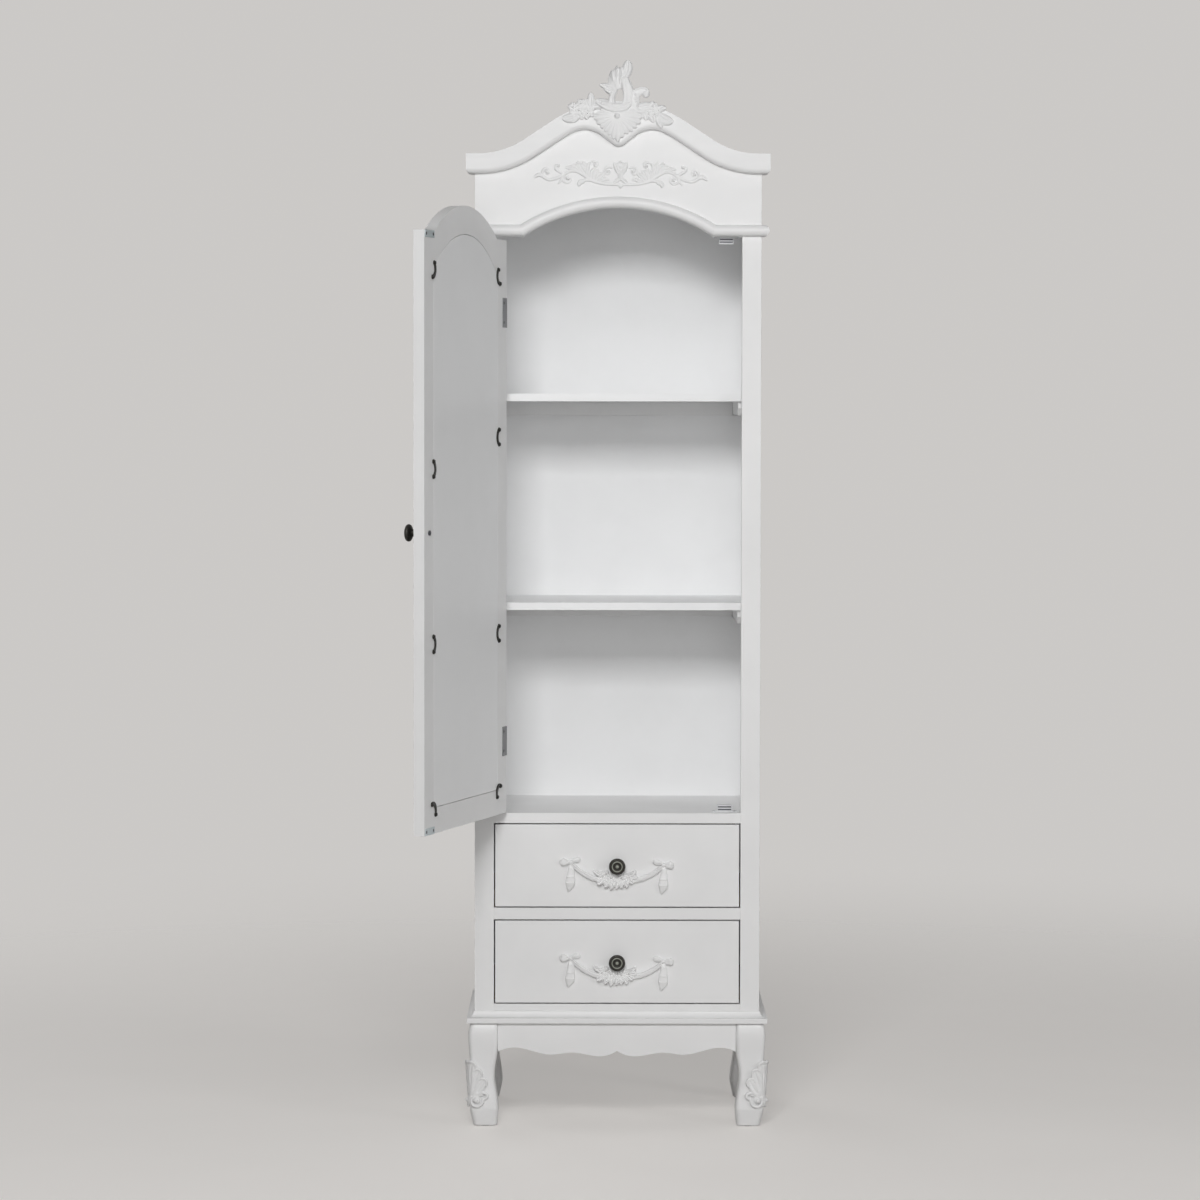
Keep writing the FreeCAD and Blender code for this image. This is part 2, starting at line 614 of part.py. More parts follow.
def plinth_board():
    """The moulded board on the legs: a square lip below a cove that runs up to the carcass."""
    def outline(margin, level):
        half = HALF_BODY + margin
        corners = [Vector(-half, -margin, level), Vector(half, -margin, level),
                   Vector(half, BODY_DEPTH, level), Vector(-half, BODY_DEPTH, level)]
        return Part.makePolygon(corners + corners[:1])

    lip_top = LEG_HEIGHT + PLINTH_LIP
    lip = Part.Face(outline(PLINTH_OVERHANG, LEG_HEIGHT)).extrude(Vector(0, 0, PLINTH_LIP))
    rings = []
    for step in range(PLINTH_COVE_STEPS + 1):
        turn = math.pi / 2 * step / PLINTH_COVE_STEPS
        margin = PLINTH_OVERHANG - (PLINTH_OVERHANG - PLINTH_TOP_MARGIN) * math.sin(turn)
        rings.append(outline(margin, PLINTH_TOP - (PLINTH_TOP - lip_top) * math.cos(turn)))
    return fused([lip, Part.makeLoft(rings, True, True)])


def leg_form(swell):
    """The front right leg over its tapered foot, grown by a swell; its outer sides face +X and -Y."""
    inner_x = HALF_BODY + PLINTH_OVERHANG - LEG_SETBACK - LEG_SIZE
    inner_y = LEG_SETBACK - PLINTH_OVERHANG + LEG_SIZE
    rings = []
    for level, outer, inner in zip(LEG_LEVEL_SHARES, LEG_OUTER_SHARES, LEG_INNER_SHARES):
        height = GLIDE_HEIGHT + level * (LEG_HEIGHT - GLIDE_HEIGHT)
        near = inner * LEG_SIZE - swell
        far = outer * LEG_SIZE + swell
        rings.append(rounded_square((inner_x + near, inner_x + far), (inner_y - far, inner_y - near), height))
    return fused([Part.makeLoft(rings[:-1], True, False), Part.makeLoft(rings[-2:], True, True)])


def rounded_square(x_range, y_range, level):
    """A level outline with rounded corners."""
    radius = LEG_CORNER_RADIUS
    edges = []
    corners = [(x_range[1], y_range[1]), (x_range[0], y_range[1]),
               (x_range[0], y_range[0]), (x_range[1], y_range[0])]
    for turn, (x, y) in enumerate(corners):
        start = turn * math.pi / 2
        centre = Vector(x - math.copysign(radius, x - sum(x_range) / 2),
                        y - math.copysign(radius, y - sum(y_range) / 2), level)
        stations = [centre + Vector(math.cos(angle), math.sin(angle), 0) * radius
                    for angle in (start, start + math.pi / 4, start + math.pi / 2)]
        edges.append(Part.Arc(*stations).toShape())
    edges += [line(edges[turn - 1].lastVertex().Point, edges[turn].firstVertex().Point)
              for turn in range(len(corners))]
    return Part.Wire(Part.__sortEdges__(edges))


def legs():
    """The four legs by their places."""
    middle = (BODY_DEPTH - PLINTH_OVERHANG) / 2
    front_right = leg_form(0)
    rear_right = front_right.mirror(Vector(0, middle, 0), Vector(0, 1, 0))
    return {
        "leg_front_left": mirrored(front_right), "leg_front_right": front_right,
        "leg_rear_left": mirrored(rear_right), "leg_rear_right": rear_right,
    }


def foot_centres():
    """The middles of the four feet on the floor."""
    middle = (LEG_OUTER_SHARES[-1] + LEG_INNER_SHARES[-1]) / 2 * LEG_SIZE
    x = HALF_BODY + PLINTH_OVERHANG - LEG_SETBACK - LEG_SIZE + middle
    front = LEG_SETBACK - PLINTH_OVERHANG + LEG_SIZE - middle
    rear = BODY_DEPTH - PLINTH_OVERHANG - front
    return [Vector(side * x, y, 0) for y in (front, rear) for side in (LEFT, RIGHT)]


def foot_glides():
    """Round glides under the feet."""
    glides = []
    for centre in foot_centres():
        disc = Part.makeCylinder(GLIDE_RADIUS, GLIDE_HEIGHT, centre)
        lower = [edge for edge in disc.Edges if edge.BoundBox.ZMax < GLIDE_EDGE]
        glides.append(disc.makeChamfer(GLIDE_EDGE, lower))
    return Part.makeCompound(glides)


def knee_carvings():
    """Leaves that hug the outer corner of each front leg, with a curl at the foot of the leaf."""
    foot = point(0, KNEE_BOTTOM + KNEE_CURL_RADIUS)
    shape = fused([leaf(foot, foot + point(0, KNEE_LENGTH - KNEE_CURL_RADIUS), KNEE_WIDTH, LEG_SIZE),
                   prism([Part.makeCircle(KNEE_CURL_RADIUS, foot, Vector(0, 1, 0))], -LEG_SIZE, 0)])
    corner = Vector(HALF_BODY + PLINTH_OVERHANG - LEG_SETBACK - LEG_SIZE / 2,
                    LEG_SETBACK - PLINTH_OVERHANG + LEG_SIZE / 2, 0)
    shape.Placement = FreeCAD.Placement(corner, Rotation(Vector(0, 0, 1), math.degrees(math.pi / 4)))
    hugging = shape.common(leg_form(KNEE_RELIEF)).cut(leg_form(0))
    return Part.makeCompound([hugging, mirrored(hugging)])


def scalloped_board(half_length, thickness):
    """An apron centred on X = 0 with its scalloped lower edge, its front at Y = 0."""
    wave = [point(station * half_length, LEG_HEIGHT - depth * APRON_HEIGHT)
            for station, depth in zip(APRON_STATION_SHARES, APRON_DEPTH_SHARES)]
    curve = Part.BSplineCurve()
    curve.interpolate(wave)
    flank = [curve.toShape(), line(wave[-1], point(half_length, LEG_HEIGHT))]
    top = line(point(-half_length, LEG_HEIGHT), point(half_length, LEG_HEIGHT))
    return prism(flank + [mirrored(edge) for edge in flank] + [top], 0, thickness)


def aprons():
    """The rails between the legs."""
    outer_x = HALF_BODY + PLINTH_OVERHANG - LEG_SETBACK
    outer_front = LEG_SETBACK - PLINTH_OVERHANG
    outer_rear = BODY_DEPTH - LEG_SETBACK
    half_front = outer_x - LEG_SIZE
    half_side = (outer_rear - outer_front) / 2 - LEG_SIZE
    front = scalloped_board(half_front, APRON_THICKNESS).translated(Vector(0, outer_front + APRON_SETBACK, 0))
    back_y = outer_rear - APRON_SETBACK
    back = box((-half_front, half_front), (back_y - APRON_THICKNESS, back_y),
               (LEG_HEIGHT - APRON_BACK_HEIGHT, LEG_HEIGHT))
    side = scalloped_board(half_side, APRON_THICKNESS)
    side.Placement = FreeCAD.Placement(Vector(outer_x - APRON_SETBACK, (outer_front + outer_rear) / 2, 0),
                                       Rotation(Vector(0, 0, 1), math.degrees(math.pi / 2)))
    pillars = list(legs().values())
    front, back, side = [board.cut(Part.makeCompound(pillars)) for board in (front, back, side)]
    sides = Part.makeCompound([side, mirrored(side)])
    return {"apron_front": front, "apron_back": back, "apron_sides": sides}


# Shelves

def shelf(level):
    """A fixed shelf whose top lies this far above the compartment floor, with rounded front corners."""
    half = HALF_INSIDE - SHELF_CLEARANCE
    top = FLOOR_TOP + level
    board = box((-half, half), (SHELF_SETBACK, BACK_FRONT), (top - SHELF_THICKNESS, top))
    corners = [edge for edge in board.Edges if edge.BoundBox.YMax < SHELF_SETBACK + SHELF_CLEARANCE
               and edge.BoundBox.ZLength > SHELF_THICKNESS / 2]
    return board.makeFillet(SHELF_CORNER_RADIUS, corners)


def shelf_cleats():
    """Battens under both shelves: one along each side, bevelled in front, and one along the back."""
    cleats = []
    for level in (LOWER_SHELF_HEIGHT, UPPER_SHELF_HEIGHT):
        top = FLOOR_TOP + level - SHELF_THICKNESS
        front = SHELF_SETBACK + CLEAT_SETBACK
        bottom = top - CLEAT_HEIGHT
        outline = [Vector(0, front, top), Vector(0, BACK_FRONT, top), Vector(0, BACK_FRONT, bottom),
                   Vector(0, front + CLEAT_BEVEL, bottom), Vector(0, front, bottom + CLEAT_BEVEL)]
        side = Part.Face(Part.Wire(polygon(outline))).extrude(Vector(CLEAT_THICKNESS, 0, 0))
        side = side.translated(Vector(HALF_INSIDE - CLEAT_THICKNESS, 0, 0))
        half = HALF_INSIDE - CLEAT_THICKNESS
        back = box((-half, half), (BACK_FRONT - CLEAT_THICKNESS, BACK_FRONT), (bottom, top))
        cleats += [side, mirrored(side), back]
    return Part.makeCompound(cleats)


# Hinges, drawn with the door shut

def knuckles(first):
    """Every second knuckle of both hinges, from the first one up."""
    pitch = HINGE_HEIGHT / KNUCKLE_COUNT
    spans = []
    for level in HINGE_LEVELS:
        for index in range(first, KNUCKLE_COUNT, 2):
            bottom = level - HINGE_HEIGHT / 2 + index * pitch
            spans.append((bottom + KNUCKLE_GAP / 2, bottom + pitch - KNUCKLE_GAP / 2))
    return spans


def hinge_leaf(plates, tongue_x, first):
    """Both hinges' leaves on one side: plates, and tongues that run forward to their knuckles."""
    barrels = []
    for bottom, top in knuckles(first):
        start = HINGE_AXIS + Vector(0, 0, bottom)
        barrels.append(cylinder(start, HINGE_AXIS + Vector(0, 0, top), KNUCKLE_RADIUS))
        barrels.append(box(tongue_x, (-HINGE_SET_OUT, 0), (bottom, top)))
    reach = Vector(0, 0, HINGE_HEIGHT)
    middles = [HINGE_AXIS + Vector(0, 0, level) for level in HINGE_LEVELS]
    bores = [cylinder(middle - reach, middle + reach, PIN_RADIUS + PIN_CLEARANCE) for middle in middles]
    return fused(plates + barrels).cut(Part.makeCompound(bores))


def hinge_span(level):
    """The heights between which a hinge's leaves stand."""
    return level - HINGE_HEIGHT / 2, level + HINGE_HEIGHT / 2


def frame_leaf_plates():
    """The leaves let into the stile's inner edge."""
    edge = -HALF_OPENING
    return [box((edge - HINGE_LEAF_THICKNESS, edge), (0, HINGE_LEAF_DEPTH), hinge_span(level))
            for level in HINGE_LEVELS]


def door_leaf_plates():
    """The leaves let into the door's edge, each with its flap wrapped over the inner face."""
    edge = -DOOR_HALF_WIDTH
    inner = DOOR_THICKNESS + HINGE_LEAF_THICKNESS
    plates = []
    for level in HINGE_LEVELS:
        plates.append(box((edge, edge + HINGE_LEAF_THICKNESS), (0, inner), hinge_span(level)))
        plates.append(box((edge, edge + HINGE_FLAP_WIDTH), (DOOR_THICKNESS, inner), hinge_span(level)))
    return plates


def hinge_frame_leaves():
    """The hinge halves on the stile."""
    return hinge_leaf(frame_leaf_plates(), (-HALF_OPENING - HINGE_LEAF_THICKNESS, -HALF_OPENING), 0)


def hinge_door_leaves():
    """The hinge halves on the door."""
    return hinge_leaf(door_leaf_plates(), (-DOOR_HALF_WIDTH, -DOOR_HALF_WIDTH + HINGE_LEAF_THICKNESS), 1)


def hinge_pins():
    """The loose pins, with a small head at each end."""
    pins = []
    for level in HINGE_LEVELS:
        bottom, top = [HINGE_AXIS + Vector(0, 0, height) for height in hinge_span(level)]
        rise = Vector(0, 0, PIN_HEAD_HEIGHT)
        heads = [cylinder(bottom - rise, bottom, PIN_HEAD_RADIUS), cylinder(top, top + rise, PIN_HEAD_RADIUS)]
        pins.append(fused([cylinder(bottom - rise, top + rise, PIN_RADIUS)] + heads))
    return Part.makeCompound(pins)


# Catches and strikes

def catch_places():
    """Each catch's seat on its board and the direction it stands in."""
    return ((FLOOR_TOP, Vector(0, 0, 1)), (FRIEZE_BOTTOM, Vector(0, 0, -1)))


def standing_box(half_width, front, depth, seat, low, high, up):
    """A box of the catch between two heights above its seat."""
    levels = sorted((seat + up.z * low, seat + up.z * high))
    return box((CATCH_X - half_width, CATCH_X + half_width), (front, front + depth), levels)


def catch_poles():
    """The steel pole plates that show in front of the catches."""
    plates = []
    for seat, up in catch_places():
        for share in POLE_LEVEL_SHARES:
            low = share * CATCH_HEIGHT - POLE_THICKNESS / 2
            plates.append(standing_box(POLE_WIDTH / 2, CATCH_FRONT - POLE_PROUD, POLE_DEPTH + POLE_PROUD,
                                       seat, low, low + POLE_THICKNESS, up))
    return plates


def catch_housings():
    """The catches' housings with their screw ears."""
    housings = []
    for seat, up in catch_places():
        body = standing_box(CATCH_WIDTH / 2, CATCH_FRONT, CATCH_DEPTH, seat, 0, CATCH_HEIGHT, up)
        ears = standing_box(CATCH_SCREW_SPACING / 2 + CATCH_EAR_END, CATCH_FRONT, CATCH_DEPTH, seat,
                            0, CATCH_EAR_THICKNESS, up)
        housings.append(fused([body, ears]))
    return Part.makeCompound(housings).cut(Part.makeCompound(catch_poles()))


def catch_screws(extra=0.0):
    """The screws through the catches' ears."""
    screws = []
    for seat, up in catch_places():
        for side in (LEFT, RIGHT):
            place = Vector(CATCH_X + side * CATCH_SCREW_SPACING / 2, CATCH_FRONT + CATCH_DEPTH / 2, seat)
            screws.append(screw(place + up * CATCH_EAR_THICKNESS, up * -1, CATCH_EAR_THICKNESS, 1, extra))
    return screws


def strike_levels():
    """The lower edges of the two strike plates on the door."""
    return DOOR_BOTTOM, DOOR_SHOULDER - STRIKE_HEIGHT


def strike_plates():
    """The plates on the door that the catches hold."""
    half = STRIKE_SCREW_SPACING / 2 + STRIKE_END
    depth = (DOOR_THICKNESS, DOOR_THICKNESS + STRIKE_THICKNESS)
    return Part.makeCompound([box((CATCH_X - half, CATCH_X + half), depth, (bottom, bottom + STRIKE_HEIGHT))
                              for bottom in strike_levels()])


def strike_screws(extra=0.0):
    """The screws through the strike plates."""
    outer = DOOR_THICKNESS + STRIKE_THICKNESS
    places = [Vector(CATCH_X + side * STRIKE_SCREW_SPACING / 2, outer, bottom + STRIKE_HEIGHT / 2)
              for bottom in strike_levels() for side in (LEFT, RIGHT)]
    return [screw(place, Vector(0, -1, 0), STRIKE_THICKNESS, 1, extra) for place in places]


def hinge_screws(x, y, inward, extra=0.0):
    """The screws of both hinges' leaves on one side."""
    places = [Vector(x, y, level + side * HINGE_SCREW_SPACING / 2)
              for level in HINGE_LEVELS for side in (LEFT, RIGHT)]
    return [screw(place, inward, HINGE_LEAF_THICKNESS, 1, extra) for place in places]


def frame_hinge_screws(extra=0.0):
    """The screws into the stile."""
    return hinge_screws(-HALF_OPENING, HINGE_LEAF_DEPTH / 2, Vector(-1, 0, 0), extra)


def door_hinge_screws(extra=0.0):
    """The screws into the door's inner face."""
    x = -DOOR_HALF_WIDTH + HINGE_FLAP_WIDTH - 2 * SCREW_HEAD_RADIUS
    return hinge_screws(x, DOOR_THICKNESS + HINGE_LEAF_THICKNESS, Vector(0, -1, 0), extra)


# Door, drawn shut

def arched_outline(half_width, bottom, apex, radius):
    """The edges of an upright outline with an arched head."""
    centre = point(0, apex - radius)
    spread = math.asin(half_width / radius)
    spring = apex - radius + radius * math.cos(spread)
    corners = [point(half_width, spring), point(half_width, bottom),
               point(-half_width, bottom), point(-half_width, spring)]
    sides = [line(start, end) for start, end in zip(corners, corners[1:])]
    return sides + [arc(centre, radius, math.pi / 2 + spread, math.pi / 2 - spread)]


def insert_outline(inset):
    """The outline of the door's rebate, or one this far inside it."""
    return arched_outline(INSERT_HALF_WIDTH - inset, INSERT_BOTTOM + inset, INSERT_APEX - inset,
                          INSERT_RADIUS - inset)


def door_blank():
    """The door's full outline: square shoulders on both sides of its arch."""
    radius = ARCH_RADIUS - DOOR_TOP_GAP
    spread = math.acos((DOOR_SHOULDER - ARCH_CENTRE) / radius)
    end = radius * math.sin(spread)
    flank = [line(point(end, DOOR_SHOULDER), point(DOOR_HALF_WIDTH, DOOR_SHOULDER)),
             line(point(DOOR_HALF_WIDTH, DOOR_SHOULDER), point(DOOR_HALF_WIDTH, DOOR_BOTTOM)),
             line(point(DOOR_HALF_WIDTH, DOOR_BOTTOM), point(0, DOOR_BOTTOM))]
    head = arc(point(0, ARCH_CENTRE), radius, math.pi / 2 + spread, math.pi / 2 - spread)
    return prism(flank + [mirrored(edge) for edge in flank] + [head], 0, DOOR_THICKNESS)


def door_frame():
    """The door's frame: rebated behind for the mirror and moulded round its sight edge in front."""
    frame = door_blank().cut(prism(insert_outline(REBATE_LIP), -OVERRUN, DOOR_THICKNESS + OVERRUN))
    inner = [edge for edge in frame.Edges if edge.BoundBox.YMax < SIGHT_EDGE_RADIUS
             and abs(edge.CenterOfMass.x) < INSERT_HALF_WIDTH
             and INSERT_BOTTOM < edge.CenterOfMass.z < INSERT_APEX]
    frame = frame.makeFillet(SIGHT_EDGE_RADIUS, inner)
    tools = [prism(insert_outline(0), GLASS_FRONT, DOOR_THICKNESS + OVERRUN), knob_hole(door_knob_place())]
    seat = (-DOOR_HALF_WIDTH - OVERRUN, -DOOR_HALF_WIDTH + HINGE_LEAF_THICKNESS)
    tools += [box(seat, (-OVERRUN, DOOR_THICKNESS + OVERRUN), hinge_span(level)) for level in HINGE_LEVELS]
    for driven in (clip_screws, strike_screws, door_hinge_screws):
        tools += driven(SCREW_CLEARANCE)
    return frame.cut(Part.makeCompound(tools))


def door_insert(front, thickness):
    """A sheet that lies in the door's rebate."""
    return prism(insert_outline(INSERT_CLEARANCE), front, front + thickness)


def clip_places():
    """Each clip's place on the insert's edge, its side of the door and its tilt."""
    straight = INSERT_SPRING - INSERT_BOTTOM
    places = []
    for side, shares in ((RIGHT, LOCK_SIDE_CLIP_SHARES), (LEFT, HINGE_SIDE_CLIP_SHARES)):
        edge = side * INSERT_HALF_WIDTH
        places.append((point(edge, INSERT_BOTTOM), side, CLIP_CORNER_TILT))
        places += [(point(edge, INSERT_BOTTOM + share * straight), side, 0) for share in shares]
        places.append((point(edge, INSERT_SPRING), side, CLIP_TOP_TILT))
    return places


def set_clip(shape, place, side, tilt):
    """A clip's piece, drawn on a right-hand edge at the origin, set at its place on the door."""
    turned = shape.copy()
    turned.rotate(Vector(), Vector(0, -1, 0), tilt)
    if side == LEFT:
        turned = mirrored(turned)
    return turned.translated(place + Vector(0, DOOR_THICKNESS, 0))


def clip_eyes():
    """The places of a clip's two screws from the insert's edge, with the clip's belly over the insert."""
    return [point(CLIP_SAGITTA - CLIP_HOLD, side * CLIP_CHORD / 2) for side in (LEFT, RIGHT)]


def backing_clips():
    """The crescent clips: a curved strap with a round eye at each end."""
    radius = ((CLIP_CHORD / 2) ** 2 + CLIP_SAGITTA ** 2) / (2 * CLIP_SAGITTA)
    centre = point(radius - CLIP_HOLD, 0)
    spread = math.asin(CLIP_CHORD / 2 / radius)
    half = CLIP_WIDTH / 2
    ends = (math.pi - spread, math.pi + spread)
    edges = [arc(centre, radius + half, *ends), arc(centre, radius - half, *ends)]
    edges += [line(polar(centre, radius - half, end), polar(centre, radius + half, end)) for end in ends]
    strap = prism(edges, 0, CLIP_THICKNESS)
    eyes = [cylinder(eye, eye + Vector(0, CLIP_THICKNESS, 0), CLIP_EYE_RADIUS) for eye in clip_eyes()]
    holes = [cylinder(eye - Vector(0, OVERRUN, 0), eye + Vector(0, CLIP_THICKNESS + OVERRUN, 0),
                      SCREW_SHANK_RADIUS + SCREW_CLEARANCE) for eye in clip_eyes()]
    clip = fused([strap] + eyes).cut(Part.makeCompound(holes))
    return Part.makeCompound([set_clip(clip, *place) for place in clip_places()])


def clip_screws(extra=0.0):
    """The pan-head screws through the clips' eyes."""
    screws = [screw(eye + Vector(0, CLIP_THICKNESS, 0), Vector(0, -1, 0), PAN_HEAD_HEIGHT, 0, extra)
              for eye in clip_eyes()]
    return [set_clip(shape, *place) for place in clip_places() for shape in screws]


# Knobs

def knob(place):
    """A turned knob that stands in front of a face at a place."""
    outline = [(0, 0), (KNOB_FOOT_RADIUS, 0), (KNOB_FOOT_RADIUS, KNOB_FOOT_THICKNESS),
               (KNOB_NECK_RADIUS, 2 * KNOB_FOOT_THICKNESS), (KNOB_NECK_RADIUS, KNOB_NECK_END),
               (KNOB_RADIUS, KNOB_RIM_START), (KNOB_RADIUS, KNOB_RIM_END)]
    corners = [Vector(radius, -out, 0) for radius, out in outline]
    edges = [line(start, end) for start, end in zip(corners, corners[1:])]
    ring = Vector(KNOB_RING_RADIUS, -KNOB_LENGTH + KNOB_RING_DEPTH, 0)
    shoulder = Vector((KNOB_RADIUS + KNOB_RING_RADIUS) / 2, -KNOB_LENGTH, 0)
    crown = Vector(0, -KNOB_LENGTH, 0)
    crown_radius = (KNOB_RING_RADIUS ** 2 + KNOB_RING_DEPTH ** 2) / (2 * KNOB_RING_DEPTH)
    lean = math.asin(KNOB_RING_RADIUS / crown_radius) / 2
    swell = crown + Vector(crown_radius * math.sin(lean), crown_radius * (1 - math.cos(lean)), 0)
    edges += [Part.Arc(corners[-1], shoulder, ring).toShape(), Part.Arc(ring, swell, crown).toShape(),
              line(crown, corners[0])]
    turned = Part.Face(Part.Wire(edges)).revolve(Vector(), Vector(0, 1, 0), math.degrees(2 * math.pi))
    bore = cylinder(Vector(0, OVERRUN, 0), Vector(0, -KNOB_BORE_DEPTH, 0), KNOB_SCREW_RADIUS)
    return turned.cut(bore).translated(place)


def knob_screw(place, board):
    """The machine screw that holds a knob from behind a board of this thickness."""
    behind = place + Vector(0, board, 0)
    end = place - Vector(0, KNOB_BORE_DEPTH - SCREW_CLEARANCE, 0)
    face = behind + Vector(0, KNOB_SCREW_HEAD_HEIGHT, 0)
    head = cylinder(behind, face, KNOB_SCREW_HEAD_RADIUS)
    shank = cylinder(behind, end, KNOB_SCREW_RADIUS - SCREW_CLEARANCE)
    return fused([head, shank]).cut(cross_recess(face, Vector(0, -1, 0)))


def knob_hole(place):
    """The tool that bores a board for a knob's screw."""
    reach = Vector(0, DOOR_THICKNESS + OVERRUN, 0)
    return cylinder(place - reach, place + reach, KNOB_SCREW_RADIUS)


def door_knob_place():
    """The middle of the door knob on the door's front face."""
    return Vector(DOOR_HALF_WIDTH - DOOR_KNOB_FROM_EDGE, 0, DOOR_BOTTOM + DOOR_KNOB_HEIGHT)


# Drawers

def swag(place):
    """The garland on a drawer front: bows, tassels, a ribbon and a bunch of blooms."""
    half_span = SWAG_SPAN_SHARE * SWAG_WIDTH / 2
    radius = (half_span ** 2 + SWAG_SAG ** 2) / (2 * SWAG_SAG)
    spread = math.asin(half_span / radius)
    ribbon = scroll(point(0, radius - SWAG_SAG), radius, -math.pi / 2 - spread, 2 * spread, SWAG_TUBE)
    half = []
    for base_x, base_z, tip_x, tip_z, width in BOW_SHARES:
        half.append(leaf(point(base_x, base_z) * SWAG_WIDTH, point(tip_x, tip_z) * SWAG_WIDTH,
                         width * SWAG_WIDTH, SWAG_RELIEF))
    hang = point(half_span, 0)
    half.append(leaf(hang + point(0, SWAG_TUBE), hang - point(0, TASSEL_LENGTH), TASSEL_WIDTH, SWAG_RELIEF))
    half += [dome(point(x, z) * SWAG_WIDTH, size * SWAG_WIDTH, SWAG_RELIEF) for x, z, size in BLOOM_SHARES]
    pieces = [ribbon] + half + [mirrored(shape) for shape in half]
    return fused(pieces).translated(place - point(0, SWAG_DROP))


def drawer(name, bottom):
    """One drawer's pieces for an opening with this floor."""
    half_front = HALF_OPENING - DRAWER_FRONT_GAP
    front_z = (bottom + DRAWER_FRONT_GAP, bottom + DRAWER_OPENING - DRAWER_FRONT_GAP)
    outer = HALF_OPENING - DRAWER_SIDE_GAP
    inner = outer - DRAWER_SIDE_THICKNESS
    run = (DRAWER_FRONT_THICKNESS, DRAWER_LENGTH)
    low = bottom + DRAWER_RUN_CLEARANCE
    high = bottom + DRAWER_SIDE_HEIGHT
    panel_z = (bottom + DRAWER_BOTTOM_LIFT, bottom + DRAWER_BOTTOM_LIFT + DRAWER_BOTTOM_THICKNESS)
    panel_half = inner + DRAWER_GROOVE
    panel_front = DRAWER_FRONT_THICKNESS - DRAWER_GROOVE
    groove = box((-panel_half, panel_half), (panel_front, DRAWER_LENGTH + OVERRUN), panel_z)
    face = Vector(0, 0, sum(front_z) / 2)
    side = box((inner, outer), run, (low, high)).cut(groove)
    gap = BOARD_CLEARANCE
    panel = box((-panel_half + gap, panel_half - gap), (panel_front + gap, DRAWER_LENGTH), panel_z)
    front = box((-half_front, half_front), (0, DRAWER_FRONT_THICKNESS), front_z)
    foot = cylinder(face - Vector(0, KNOB_LENGTH, 0), face, KNOB_FOOT_RADIUS)
    back = box((-inner, inner), (DRAWER_LENGTH - DRAWER_SIDE_THICKNESS, DRAWER_LENGTH), (panel_z[1], high))
    return {
        f"{name}_drawer_front": front.cut(groove).cut(knob_hole(face)),
        f"{name}_drawer_sides": Part.makeCompound([side, mirrored(side)]),
        f"{name}_drawer_back": back,
        f"{name}_drawer_bottom": panel,
        f"{name}_drawer_swag": swag(face).cut(foot),
        f"{name}_drawer_knob": knob(face),
        f"{name}_drawer_knob_screw": knob_screw(face, DRAWER_FRONT_THICKNESS),
    }


# Carvings on the pediment

def crest_carving():
    """The crest: a shell over the cornice's drop, sprays on both sides and a plume of leaves and scrolls."""
    def place(x_share, z_share):
        return point(x_share * CREST_WIDTH, z_share * CREST_HEIGHT)

    pieces = [leaf(place(base_x, base_z), place(tip_x, tip_z), width * CREST_WIDTH, CREST_RELIEF)
              for base_x, base_z, tip_x, tip_z, width in CREST_LEAF_SHARES]
    for x, z, radius, start, sweep, tube in CREST_SCROLL_SHARES:
        pieces.append(scroll(place(x, z), radius * CREST_WIDTH, math.radians(start), math.radians(sweep),
                             tube * CREST_WIDTH))
    spread = math.radians(SHELL_SPREAD)
    for rib in range(SHELL_RIBS):
        angle = math.pi / 2 + spread * (2 * rib / (SHELL_RIBS - 1) - 1)
        tip = polar(place(0, 0), SHELL_LENGTH, angle)
        pieces.append(leaf(place(0, 0), tip, SHELL_RIB_WIDTH, SHELL_RELIEF))
    pieces.append(dome(point(0, SHELL_LENGTH), PEARL_RADIUS * 2, CREST_BOSS_RELIEF))
    foot = pendant_tip() + point(0, CREST_FOOT_ABOVE_PENDANT)
    return fused(pieces).translated(foot - Vector(0, CORNICE_OVERHANG, 0))


def frieze_carving():
    """The scrolls on the frieze, the same on both sides of a small palmette."""
    half_width = FRIEZE_CARVING_WIDTH / 2
    height = FRIEZE_CARVING_HEIGHT_SHARE * FRIEZE_CARVING_WIDTH
    tube = FRIEZE_TUBE_SHARE * FRIEZE_CARVING_WIDTH

    def place(x_share, z_share):
        return point(x_share * half_width, z_share * height)

    half = [leaf(place(base_x, base_z), place(tip_x, tip_z), width * height, FRIEZE_CARVING_RELIEF)
            for base_x, base_z, tip_x, tip_z, width in FRIEZE_LEAF_SHARES]
    half += [scroll(place(x, z), radius * half_width, math.radians(start), math.radians(sweep), tube)
             for x, z, radius, start, sweep in FRIEZE_SCROLL_SHARES]
    lift = point(0, FRIEZE_BOTTOM + FRIEZE_CARVING_LIFT)
    return fused(half + [mirrored(shape) for shape in half]).translated(lift)


# The whole part

def door_pieces():
    """The door's pieces, drawn shut."""
    place = door_knob_place()
    leaves = hinge_door_leaves().cut(Part.makeCompound(door_hinge_screws(SCREW_CLEARANCE)))
    strikes = strike_plates().cut(Part.makeCompound(strike_screws(SCREW_CLEARANCE)))
    return {
        "door_frame": door_frame(),
        "mirror_glass": door_insert(GLASS_FRONT, GLASS_THICKNESS),
        "mirror_backing": door_insert(GLASS_FRONT + GLASS_THICKNESS, BACKING_THICKNESS),
        "backing_clips": backing_clips(),
        "clip_screws": Part.makeCompound(clip_screws()),
        "hinge_door_leaves": leaves,
        "strike_plates": strikes,
        "door_screws": Part.makeCompound(strike_screws() + door_hinge_screws()),
        "door_knob": knob(place),
        "door_knob_screw": knob_screw(place, DOOR_THICKNESS),
    }


